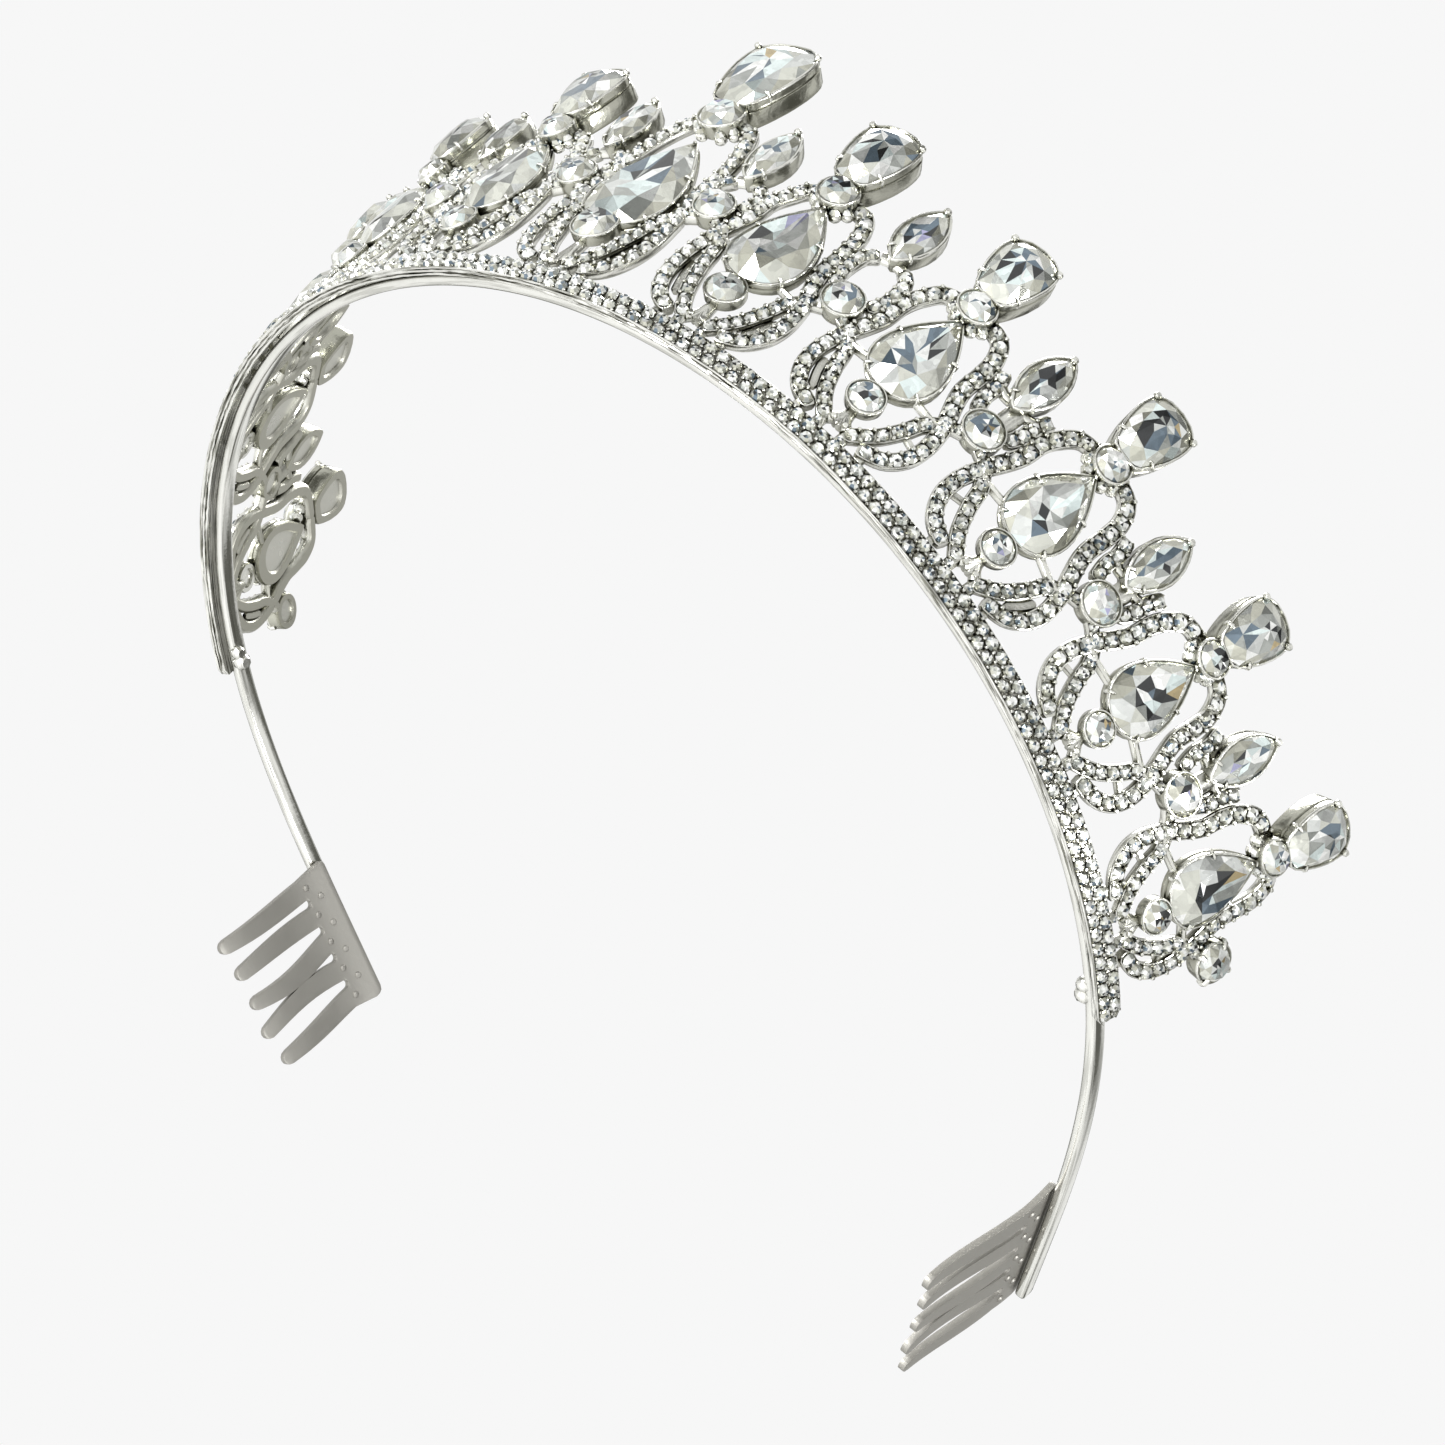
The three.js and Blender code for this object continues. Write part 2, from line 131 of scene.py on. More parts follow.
MOTIFS_PER_SIDE = 5
SCALE_CENTRE = 2
NECK_RISE = 35.4
LOW_ROUND_RISE = 10.7
NECK_RADIUS = 2.8
LOW_RADIUS = 2.8
SEED = 12
SMOOTH_CAST = 38                  # degrees; sharper edges stay sharp
SMOOTH_SHEET = 40


# ==================================== the wall and its coordinates
def curvature(s):
    if s < SIDE_START:
        return 1 / FRONT_RADIUS + (1 / SIDE_RADIUS - 1 / FRONT_RADIUS) * s / SIDE_START
    if s < SIDE_END:
        return 1 / SIDE_RADIUS
    return max((STRAIGHT_FROM - s) / (STRAIGHT_FROM - SIDE_END), 0) / SIDE_RADIUS


def plan_table():
    rows = [(0.0, 0.0, -float(OPENING_CENTRE), 0.0)]
    while rows[-1][0] < PLAN_END:
        s, x, y, turn = rows[-1]
        after = turn + curvature(s + PLAN_STEP / 2) * PLAN_STEP
        middle = (turn + after) / 2
        rows.append((s + PLAN_STEP, x + math.cos(middle) * PLAN_STEP,
                     y + math.sin(middle) * PLAN_STEP, after))
    return np.array(rows).T


PLAN_S, PLAN_X, PLAN_Y, PLAN_TURN = plan_table()


def off_plan(s, outward, up):
    """Points at arc lengths s, moved outward and up from the plan curve, as an (n, 3) array."""
    side = np.where(s < 0, -1.0, 1.0)
    reach = np.abs(s)
    turn = np.interp(reach, PLAN_S, PLAN_TURN)
    x = np.interp(reach, PLAN_S, PLAN_X) + np.sin(turn) * outward
    y = np.interp(reach, PLAN_S, PLAN_Y) - np.cos(turn) * outward
    return np.stack([side * x, y, up], axis=1)


def lean_at(s):
    return LEAN_FRONT + (LEAN_END - LEAN_FRONT) * np.minimum(np.abs(s) / RAIL_END, 1)


def on_wall(points):
    s, h, o = np.asarray(points, float).T
    lean = lean_at(s)
    return off_plan(s, h * np.sin(lean) + o * np.cos(lean), h * np.cos(lean) - o * np.sin(lean))


def upright(points):
    """The same for the band and the combs, which stand upright under the plan curve."""
    s, h, o = np.asarray(points, float).T
    return off_plan(s, o, h)


def mesh_points(mesh):
    found = np.empty(len(mesh.vertices) * 3)
    mesh.vertices.foreach_get("co", found)
    return found.reshape(-1, 3)


def add_object(name, data):
    obj = bpy.data.objects.new(name, data)
    bpy.context.scene.collection.objects.link(obj)
    return obj


def wall_box(node):
    """A node's lowest and highest (s, h, o), read back from its mesh."""
    x, y, z = (mesh_points(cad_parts[node].data) / METRE).T
    side = np.where(x < 0, -1.0, 1.0)
    across = np.abs(x)
    nearest = np.argmin((across[:, None] - PLAN_X) ** 2 + (y[:, None] - PLAN_Y) ** 2, axis=1)
    turn = PLAN_TURN[nearest]
    dx = across - PLAN_X[nearest]
    dy = y - PLAN_Y[nearest]
    outward = dx * np.sin(turn) - dy * np.cos(turn)
    along = dx * np.cos(turn) + dy * np.sin(turn)
    s = side * (PLAN_S[nearest] + along / (1 + outward / SIDE_RADIUS))
    lean = lean_at(s)
    h = outward * np.sin(lean) + z * np.cos(lean)
    o = outward * np.cos(lean) - z * np.sin(lean)
    rows = np.stack([s, h, o], axis=1)
    return rows.min(0), rows.max(0)


# ==================================== flat curves and outlines
def spline(points, count):
    """A smooth curve through the points, in count steps."""
    points = np.asarray(points, float)
    padded = np.vstack([points[:1], points, points[-1:]])
    spans = len(points) - 1
    found = []
    for step in range(count + 1):
        place = min(step * spans / count, spans - 1e-9)
        i = int(place)
        t = place - i
        a, b, c, d = padded[i:i + 4]
        found.append(0.5 * (2 * b + (c - a) * t + (2 * a - 5 * b + 4 * c - d) * t ** 2
                            + (3 * b - a - 3 * c + d) * t ** 3))
    return np.array(found)


def lengths_along(curve):
    return np.concatenate([[0], np.cumsum(np.linalg.norm(np.diff(curve, axis=0), axis=1))])


def at_length(curve, distance):
    """The point and the unit direction a distance along a flat curve."""
    run = lengths_along(curve)
    point = np.array([np.interp(distance, run, curve[:, axis]) for axis in (0, 1)])
    i = min(np.searchsorted(run, distance, side="right") - 1, len(curve) - 2)
    along = curve[max(i, 0) + 1] - curve[max(i, 0)]
    return point, along / (np.linalg.norm(along) + 1e-9)


def side_directions(curve, closed=False):
    """Unit vectors to the left of a flat curve, one at each point."""
    if closed:
        along = np.roll(curve, -1, axis=0) - np.roll(curve, 1, axis=0)
    else:
        along = np.gradient(curve, axis=0)
    along /= np.linalg.norm(along, axis=1)[:, None] + 1e-9
    return np.stack([-along[:, 1], along[:, 0]], axis=1)


def pear_outline(length, width, count):
    widest = 0.7698
    t = 2 * np.pi * (np.arange(count) + 0.5) / count
    x = (width / 2 / widest) * np.sin(t) * np.sin(t / 2)
    return ordered(np.stack([-x, (length / 2) * np.cos(t)], axis=1))


def shield_outline(length, width, count):
    """The part of a top pear above the neck stone: a domed top, straight sides and a blunt foot."""
    half = np.array([(0.0, -0.5), (0.2, -0.5), (0.29, -0.45), (0.37, -0.32), (0.46, -0.1),
                     (0.5, 0.12), (0.485, 0.3), (0.4, 0.41), (0.22, 0.48), (0.0, 0.5)])
    whole = np.vstack([half, half[-2:0:-1] * (-1, 1)]) * (width, length)
    closed = np.vstack([whole, whole[:1]])
    run = lengths_along(closed)
    places = np.linspace(0, run[-1], count, endpoint=False)
    return np.stack([np.interp(places, run, closed[:, axis]) for axis in (0, 1)], axis=1)


def round_outline(radius, count):
    t = 2 * np.pi * (np.arange(count) + 0.5) / count
    return radius * np.stack([np.cos(t), np.sin(t)], axis=1)


def marquise_outline(length, width, count):
    t = 2 * np.pi * np.arange(count) / count
    bulge = np.sign(np.cos(t)) * np.abs(np.cos(t)) ** 1.6
    return np.stack([(width / 2) * bulge, (length / 2) * np.sin(t)], axis=1)


def ordered(outline):
    """The outline, counter-clockwise."""
    x, y = outline.T
    area = np.sum(x * np.roll(y, -1) - y * np.roll(x, -1))
    return outline if area > 0 else outline[::-1]


def grown(outline, distance):
    """A counter-clockwise outline moved outward all round."""
    return outline - side_directions(outline, closed=True) * distance


# ==================================== solids in wall coordinates
def side_faces(steps, n):
    """The quads between steps + 1 stacked rings of n points each."""
    return [(low + i, low + (i + 1) % n, low + n + (i + 1) % n, low + n + i)
            for low in range(0, steps * n, n) for i in range(n)]


class Form:
    """Closed solids gathered into one mesh, with a tone for each face."""

    def __init__(self):
        self.points = []
        self.faces = []
        self.tones = []
        self.count = 0

    def add(self, points, faces, tones=None):
        self.points.append(np.asarray(points, float))
        self.faces += [tuple(self.count + i for i in face) for face in faces]
        self.tones += tones or [(1.0, 1.0, 1.0)] * len(faces)
        self.count += len(points)

    def rings(self, rings, tones=None, clockwise=False):
        """A solid from rings of equal count, capped at both ends. Seen from the last ring, they run
        counter-clockwise unless clockwise is set."""
        n = len(rings[0])
        points = np.vstack(rings)
        faces = [tuple(reversed(range(n))), *side_faces(len(rings) - 1, n)]
        faces.append(tuple(range(len(points) - n, len(points))))
        if clockwise:
            faces = [face[::-1] for face in faces]
        self.add(points, faces, tones)

    def sweep(self, curve, profile, ends=1.0):
        """The profile's (sideways, o) points carried along a flat curve. ends scales its two ends."""
        rings = []
        for i, (point, left) in enumerate(zip(curve, side_directions(curve))):
            scale = ends if i in (0, len(curve) - 1) else 1.0
            rings.append([(*(point + left * a * scale), o) for a, o in profile])
        self.rings(rings, clockwise=True)

    def bead(self, x, h, o, radius, squash=1.0):
        """A small ball."""
        turns, rises = 8, 5
        rings = []
        for rise in range(1, rises):
            angle = math.pi * rise / rises - math.pi / 2
            ring = round_outline(radius * math.cos(angle), turns) + (x, h)
            level = o + radius * squash * math.sin(angle)
            rings.append(np.column_stack([ring, np.full(turns, level)]))
        self.rings(rings)

    def claw(self, path, radius):
        """A bent prong: a round wire through (s, h, o) points, thinner at its end."""
        path = np.asarray(path, float)
        turns = 8
        rings = []
        for i, point in enumerate(path):
            along = path[min(i + 1, len(path) - 1)] - path[max(i - 1, 0)]
            along /= np.linalg.norm(along)
            a = np.cross(along, (0.3, 1.0, 0.2))
            a /= np.linalg.norm(a)
            b = np.cross(along, a)
            size = radius * CLAW_TAPER[min(i, len(CLAW_TAPER) - 1)]
            angles = 2 * np.pi * np.arange(turns) / turns
            rings.append(point + size * (np.outer(np.cos(angles), a) + np.outer(np.sin(angles), b)))
        self.rings(rings)


def flat_ring(outline, centre, size, o):
    points = centre + (outline - centre) * size
    return np.column_stack([points, np.full(len(points), o)])


# ==================================== cut stones
# Facet tones of the stones. They are painted reflections: the white, dark and coloured facets and
# glints that the glass would show.
WHITE = (0.97, 0.98, 0.97)
PALE = (0.69, 0.70, 0.64)
SILVER = (0.68, 0.70, 0.69)
HAZE = (0.48, 0.48, 0.41)
AQUA = (0.78, 0.88, 0.88)
GREY = (0.42, 0.44, 0.42)
SLATE = (0.13, 0.18, 0.23)
DARK = (0.02, 0.023, 0.026)
AMBER = (0.50, 0.40, 0.22)
VIOLET = (0.42, 0.42, 0.62)


def pick(rng, *weighted):
    """One of the tones, by weight, a little lighter or darker."""
    tones = [tone for tone, _ in weighted]
    tone = rng.choices(tones, [weight for _, weight in weighted])[0]
    shade = rng.uniform(0.86, 1.04)
    return tuple(min(channel * shade, 1.0) for channel in tone)


# Painted reflection: the tone of a crown facet, mostly pale, with few dark ones.
def crown_reflection_tone(rng):
    return pick(rng, (PALE, 4), (SILVER, 3), (WHITE, 1.6), (HAZE, 3), (AQUA, 0.8), (GREY, 1),
                (SLATE, 0.25))


# Painted reflection: the tone of a pavilion facet seen through the table, white or dark, with rare
# amber and violet glints.
def keel_reflection_tone(rng):
    return pick(rng, (WHITE, 3), (AQUA, 2.4), (SILVER, 2), (GREY, 1.6), (SLATE, 2.2), (DARK, 2),
                (AMBER, 0.3), (VIOLET, 0.25))


def gem(form, outline, centre, girdle, crown, rng, keel=None, table=0.62):
    """A cut stone. The outline has two points for each main facet. Its facet tones are painted
    reflections:
    on the table, the pavilion is painted as long kites that meet at the keel, with darker and lighter
    triangles between them."""
    n = len(outline) // 2
    keel = centre if keel is None else keel
    mains = outline[0::2]
    between = outline[1::2]
    rings = [
        flat_ring(outline, centre, 0.8, girdle - 0.5),
        flat_ring(outline, centre, 1.0, girdle - 0.12),
        flat_ring(outline, centre, 1.0, girdle),
        flat_ring(between, centre, (1 + table) / 2, girdle + crown * 0.55),
        flat_ring(mains, centre, table, girdle + crown * 0.93),
        flat_ring(between, keel, table * 0.46, girdle + crown * 0.985),
    ]
    shift = 0.045 * np.ptp(outline[:, 0])
    rings[-1][:, :2] += [(rng.uniform(-shift, shift), rng.uniform(-shift, shift)) for _ in range(n)]
    points = np.vstack(rings + [np.array([[*keel, girdle + crown]])])
    m = 2 * n
    kite = keel_reflection_tone(rng)
    faces = [tuple(reversed(range(m))), *side_faces(2, m)]
    tones = [GREY] + [SILVER] * (2 * m)
    edge, middle, top, star, tip = 2 * m, 3 * m, 3 * m + n, 3 * m + 2 * n, 3 * m + 3 * n
    for i in range(n):
        j = (i + 1) % n
        before = (i - 1) % n
        faces += [
            (edge + 2 * i, edge + 2 * i + 1, middle + i),
            (edge + 2 * i + 1, edge + (2 * i + 2) % m, middle + i),
            (edge + 2 * i, middle + i, top + i), (edge + 2 * i, top + i, middle + before),
            (top + i, middle + i, top + j),
            (top + i, star + i, star + before), (tip, star + before, star + i),
            (top + i, top + j, star + i),
        ]
        kite = kite if rng.random() < 0.35 else keel_reflection_tone(rng)
        inner = kite if rng.random() < 0.4 else keel_reflection_tone(rng)
        main = crown_reflection_tone(rng)
        tones += [crown_reflection_tone(rng), crown_reflection_tone(rng), main, main, crown_reflection_tone(rng), kite, inner,
                  kite if rng.random() < 0.4 else keel_reflection_tone(rng)]
    form.add(points, faces, tones)


def small_gem(form, x, h, girdle, radius, rng):
    """A small round stone: eight crown facets and a table that shows the facets below it, all in
    painted reflection tones.
    """
    n = 8
    turn = rng.uniform(0, math.pi / 4)
    spin = np.array([[math.cos(turn), -math.sin(turn)], [math.sin(turn), math.cos(turn)]])
    outline = round_outline(radius, n) @ spin + (x, h)
    centre = np.array([x, h])
    rings = [
        flat_ring(outline, centre, 0.75, girdle - 0.4),
        flat_ring(outline, centre, 1.0, girdle),
        flat_ring(outline, centre, 0.58, girdle + PAVE_CROWN),
    ]
    points = np.vstack(rings + [np.array([[x, h, girdle + PAVE_CROWN * 1.03]])])
    faces = [tuple(reversed(range(n))), *side_faces(2, n)]
    faces += [(2 * n + i, 2 * n + (i + 1) % n, 3 * n) for i in range(n)]
    # Painted reflections: white glints and dark facets, picked at random for each facet.
    tones = [GREY] + [SILVER] * n
    tones += [pick(rng, (WHITE, 5), (PALE, 3), (HAZE, 2.6), (GREY, 2), (SLATE, 0.7))
              for _ in range(n)]
    tones += [pick(rng, (WHITE, 6), (PALE, 2), (GREY, 1.5), (SLATE, 1.3), (DARK, 1.8))
              for _ in range(n)]
    form.add(points, faces, tones)


# ==================================== settings
def cup(form, outline, centre, back, girdle, wall=RIM, groove=None):
    """A stone's cup: a hollow back, a wall that follows the stone and a thin rim over its edge."""
    def ring(distance, o):
        return np.column_stack([grown(outline, distance), np.full(len(outline), o)])

    hollow = flat_ring(outline, centre, 0.66, back + 0.35)
    rings = [
        hollow,
        flat_ring(outline, centre, 0.72, back),
        ring(wall * 0.3, back),
        ring(wall * 0.75, back + 0.25),
    ]
    if groove is not None:
        rings += [
            ring(wall * 0.95, groove - 0.22), ring(wall * 0.25, groove - 0.1),
            ring(wall * 0.2, groove + 0.1), ring(wall * 0.8, groove + 0.2),
        ]
    rings += [
        ring(wall, girdle - 0.15),
        ring(wall, girdle + 0.08),
        ring(wall * 0.7, girdle + 0.2),
        ring(wall * 0.2, girdle + 0.2),
        ring(-0.04, girdle + 0.05),
        ring(-0.12, girdle - 0.35),
    ]
    bright = (1.0, 1.0, 1.0)
    walls = len(rings) - 6
    tones = [bright]
    for i in range(len(rings) - 1):
        # Painted shade: the outer wall faces take the darker tone, the rim and hollow stay plain.
        tones += [SHADED_WALL_TONE if 2 <= i < walls else bright] * len(outline)
    form.rings(rings, tones + [bright])


def outline_claw(form, outline, place, girdle, radius=0.25, reach=0.4):
    """A claw up the cup's wall, at a place (0 to 1) round the outline, that bends over the stone."""
    i = int(round(place * len(outline))) % len(outline)
    outward = -side_directions(outline, closed=True)[i]
    base = outline[i]

    def at(distance, o):
        return (*(base + outward * distance), o)

    form.claw([at(RIM - 0.1, girdle - 0.75), at(RIM + 0.02, girdle - 0.1),
               at(RIM - 0.12, girdle + 0.25), at(-reach * 0.45, girdle + 0.45),
               at(-reach, girdle + 0.46)], radius)


STRAND_PROFILE = [
    (-0.6, CAST_BACK), (0.6, CAST_BACK), (0.92, CAST_BACK + 0.35), (1.05, CAST_FACE - 0.35),
    (0.98, CAST_FACE - 0.12), (0.86, CAST_FACE - 0.08), (0.74, CAST_FACE - 0.3),
    (-0.74, CAST_FACE - 0.3), (-0.86, CAST_FACE - 0.08), (-0.98, CAST_FACE - 0.12),
    (-1.05, CAST_FACE - 0.35), (-0.92, CAST_BACK + 0.35),
]


def web_profile(width, face=CAST_FACE - 0.35):
    """A cast bar's section: chamfered, from the casting's back to its face."""
    half = width / 2
    return [
        (-half * 0.6, CAST_BACK + 0.1), (half * 0.6, CAST_BACK + 0.1), (half, CAST_BACK + 0.5),
        (half, face - 0.35), (half * 0.6, face), (-half * 0.6, face), (-half, face - 0.35),
        (-half, CAST_BACK + 0.5),
    ]


def round_profile(radius):
    """A round wire halfway through the casting."""
    middle = (CAST_BACK + CAST_FACE) / 2
    tall = (CAST_FACE - CAST_BACK) / 2
    angles = -2 * np.pi * (np.arange(10) + 0.5) / 10
    return [(radius * math.cos(a), middle + tall * math.sin(a)) for a in reversed(angles)]


def strand(metal, stones, curve, rng, width, radius, inset, tail):
    """A pave strand: a channelled bar, stones down its middle and pairs of beads between them. The
    stones start inset from its beginning and stop tail from its end."""
    scale = width / STRAND
    metal.sweep(curve, [(a * scale, o) for a, o in STRAND_PROFILE], ends=0.72)
    total = lengths_along(curve)[-1]
    room = total - inset - tail
    count = max(int(round(room / (PAVE_PITCH * radius / PAVE_RADIUS))), 1)
    pitch = room / count
    for i in range(count + 1):
        point, along = at_length(curve, inset + i * pitch)
        small_gem(stones, *point, CAST_FACE - 0.12, radius * rng.uniform(0.95, 1.03), rng)
        if i < count:
            middle, along = at_length(curve, inset + (i + 0.5) * pitch)
            left = np.array([-along[1], along[0]])
            for side in (-1, 1):
                bead = middle + left * side * (0.72 * scale)
                metal.bead(*bead, CAST_FACE + 0.08, BEAD_RADIUS * scale, squash=1.1)


# ==================================== reading the stones' places
def places():
    """Each motif's name and index, from the centre outward. The left side's are negative."""
    found = {"centre": 0}
    for i in range(1, MOTIFS_PER_SIDE + 1):
        found[f"left_{i}"] = -i
        found[f"right_{i}"] = i
    return found


class Stone:
    """A big stone's place and size on the wall, from its CAD node."""

    def __init__(self, node):
        low, high = wall_box(node)
        self.node = node
        self.centre = (low[:2] + high[:2]) / 2
        self.width, self.length = (high - low)[:2]
        self.foot = low[2]
        self.crown_top = high[2]


# ==================================== one motif
class Motif:
    def __init__(self, place, index):
        self.index = index
        self.outward = (index > 0) - (index < 0)
        self.main = Stone(f"main_pear_{place}")
        self.top = Stone(f"top_pear_{place}")
        self.s = self.top.centre[0]
        self.scale = self.top.length / TOP_LENGTH
        self.neck = np.array([self.s, SCALE_CENTRE + NECK_RISE * self.scale])
        self.low = np.array([self.s, SCALE_CENTRE + LOW_ROUND_RISE * self.scale])

    def point(self, x, h):
        return np.array([self.s + x, h])


TOP_LENGTH = wall_box("top_pear_centre")[1][1] - wall_box("top_pear_centre")[0][1]


def seat_stones():
    found = {}
    for side, name in ((-1, "left"), (1, "right")):
        for i in range(1, MOTIFS_PER_SIDE + 2):
            found[side * (i - 0.5)] = Stone(f"between_round_{name}_{i}")
    return found


def filigree_side(metal, stones, motif, seat, side, rng):
    """The loop round the main pear and the double leaf below it, on one side of a motif."""
    half_pitch = abs(seat.centre[0] - motif.s)
    seat_height = seat.centre[1]
    neck = motif.neck[1]
    shoulder = (0.525 if side == motif.outward else 0.56) + 0.22 * (motif.scale - 0.73)
    leaf_top = seat_height - LEAF_DROP
    leaf_foot = RAIL_HEIGHT + FRAME_GAP + STRAND / 2

    def at(x, h):
        return motif.point(side * x * half_pitch, h)

    def leaf(x, v):
        return at(x, leaf_foot + v * (leaf_top - leaf_foot))

    loop = spline([
        at(0, neck + 0.4), at(0.34, neck - 0.1), at(0.49, neck - 2.4),
        at(shoulder, (neck + seat_height) / 2), at(shoulder + 0.02, seat_height + 1.6),
        at(0.72, leaf_top),
    ], 30)
    outer = spline([leaf(0.72, 1), leaf(0.78, 0.66), leaf(0.75, 0.36), leaf(0.6, 0.12),
                    leaf(0.34, 0)], 20)
    inner = spline([leaf(0.7, 1), leaf(0.57, 0.82), leaf(0.5, 0.58), leaf(0.36, 0.26),
                    leaf(0.14, 0)], 20)
    strand(metal, stones, loop, rng, *LOOP_SIZE, inset=1.3, tail=0.5)
    strand(metal, stones, outer, rng, *OUTER_SIZE, inset=0.9, tail=1.1)
    strand(metal, stones, inner, rng, *INNER_SIZE, inset=1.9, tail=0.9)
    if rng.random() < 0.5:
        leaf_web = spline([leaf(0.66, 0.62), leaf(0.6, 0.42), leaf(0.5, 0.22)], 8)
        metal.sweep(leaf_web, web_profile(1.3, CAST_FACE - 0.75), ends=0.5)
    else:
        metal.sweep(spline([leaf(0.56, 0.56), leaf(0.76, 0.5)], 3), web_profile(WEB * 0.8))
    flank = 0.22 * motif.main.width
    pear_foot = motif.main.centre[1] - 0.32 * motif.main.length
    web = spline([motif.point(side * flank, pear_foot), at(0.6, leaf_top - 0.6),
                  at(0.7, leaf_top)], 10)
    metal.sweep(web, round_profile(0.5))
    metal.bead(*web[5], CAST_FACE - 0.3, 0.42)
    stem_top = motif.point(0, motif.low[1] - 1.5)
    for reach in (0.25, 0.65, 1.0):
        stem = spline([stem_top, motif.point(side * reach * 0.5, leaf_foot + 1.7),
                       at(0.19 * reach, leaf_foot + 0.35 + 0.25 * (1 - reach))], 8)
        metal.sweep(stem, round_profile(0.6))
    metal.bead(*motif.point(side * 0.9, leaf_foot + 0.9), CAST_FACE - 0.2, 0.5)
    for x, width in ((0.16, 1.5), (0.45, 1.2)):
        leg = spline([at(x, leaf_foot + 0.7), at(x, RAIL_HEIGHT - 0.4)], 3)
        metal.sweep(leg, web_profile(width))
    small_gem(stones, *at(0.16, leaf_foot - 0.75), CAST_FACE - 0.45, 0.6, rng)


def build_motif(motif, seats, rng):
    """A motif's casting and pave, and each big stone's outline, centre, girdle and crown."""
    metal = Form()
    pave = Form()
    for side in (-1, 1):
        filigree_side(metal, pave, motif, seats[motif.index + side / 2], side, rng)
    main = motif.main
    outline = pear_outline(main.length, main.width, 36) + main.centre
    main_girdle = main.foot + MAIN_GIRDLE
    cup(metal, outline, main.centre, CAST_BACK, main_girdle, groove=main_girdle - 0.75)
    for place in (0.0, 0.22, 0.4, 0.6, 0.78):
        outline_claw(metal, outline, place, main_girdle)
    top = motif.top
    trim = TOP_TRIM if motif.index else 1.0
    top_outline = shield_outline(top.length * trim, top.width * trim, 36) + top.centre
    top_girdle = top.foot + TOP_GIRDLE
    cup(metal, top_outline, top.centre, CAST_BACK, top_girdle, groove=top_girdle - 1.1)
    for side in (-1, 1):
        shoulder = top.centre + (side * 0.46 * trim * top.width, 0.37 * trim * top.length)
        metal.bead(*shoulder, top_girdle + 0.3, 0.46, squash=1.2)
        outline_claw(metal, top_outline, 0.5 + side * 0.36, top_girdle)
    neck_radius = NECK_RADIUS * motif.scale
    neck_outline = round_outline(neck_radius, 32) + motif.neck
    cup(metal, neck_outline, motif.neck, CAST_FACE - 0.5, NECK_OFF)
    for angle in (-150, -118, -62, -30):
        turn = math.radians(angle)
        place = motif.neck + (neck_radius + 0.25) * np.array([math.cos(turn), math.sin(turn)])
        metal.bead(*place, CAST_FACE - 0.35, 0.85, squash=0.9)
        small_gem(pave, *place, CAST_FACE + 0.3, 0.66, rng)
    low_outline = round_outline(LOW_RADIUS * motif.scale, 32) + motif.low
    cup(metal, low_outline, motif.low, CAST_BACK + 0.6, LOW_OFF)
    return metal, pave, {
        "main": (outline, main.centre, main_girdle, main.crown_top - main_girdle),
        "top": (top_outline, top.centre, top_girdle, top.crown_top - top_girdle),
        "neck": (neck_outline, motif.neck, NECK_OFF, NECK_CROWN),
        "low": (low_outline, motif.low, LOW_OFF, LOW_CROWN),
    }


def between_setting(metal, pave, seat, own_side, marquise, rng):
    """The seat between two motifs, the marquise above it and the short pave arms and bridges beside
    it. An end seat has no marquise, and a bridge only on its own side."""
    x, height = seat.centre
    radius = seat.width / 2
    outline = round_outline(radius, 32) + seat.centre
    girdle = seat.foot + SEAT_GIRDLE
    cup(metal, outline, seat.centre, CAST_BACK, girdle)
    for side in (-1, 1) if marquise else (own_side,):
        bridge = spline([(x + side * 0.8, height - 1.6), (x + side * 2.4, height - 2.3),
                         (x + side * 3.3, height - LEAF_DROP - 0.2)], 5)
        strand(metal, pave, bridge, rng, *BRIDGE_SIZE, inset=1.0, tail=0.4)
    if marquise is None:
        for place in (0.125, 0.375, 0.625, 0.875):
            outline_claw(metal, outline, place, girdle, radius=0.42, reach=0.7)
        return
    foot = marquise.centre[1] - marquise.length / 2
    lens = marquise_outline(marquise.length, marquise.width, 24) + marquise.centre
    lens_girdle = marquise.foot + MARQUISE_GIRDLE
    cup(metal, lens, marquise.centre, CAST_BACK, lens_girdle, wall=0.34)
    for place in (0.64, 0.86):
        outline_claw(metal, lens, place, lens_girdle, reach=0.35)
    tip = marquise.centre + (0, marquise.length / 2 - 0.05)
    metal.bead(*tip, lens_girdle + 0.3, 0.5, squash=1.2)
    high = foot - height > TALL_GAP
    for side in (-1, 1):
        if high:
            arm = [(x + side * 2.3, height + 1.5), (x + side * 3.2, height + 3.7),
                   (x + side * 3.0, foot - 1.4), (x + side * 1.7, foot + 0.1)]
        else:
            arm = [(x + side * 2.3, height + 1.5), (x + side * 2.95, height + 3.7),
                   (x + side * 3.0, height + 5.8), (x + side * 3.7, height + 8.0)]
            link = spline([(x + side * 2.8, foot + 1.5), (x + side * 1.7, foot + 0.9),
                           (x, foot + 1.2)], 6)
            metal.sweep(link, round_profile(0.7))
        strand(metal, pave, spline(arm, 12), rng, *ARM_SIZE, inset=0.9, tail=0.9)
    if high:
        tie = spline([(x - 1.6, foot + 0.3), (x, foot + 0.7), (x + 1.6, foot + 0.3)], 5)
        metal.sweep(tie, round_profile(0.8))
    else:
        post = spline([(x + own_side * 0.5, height + 1.5), (x + own_side * 0.6, foot + 0.9)], 3)
        metal.sweep(post, round_profile(1.3))


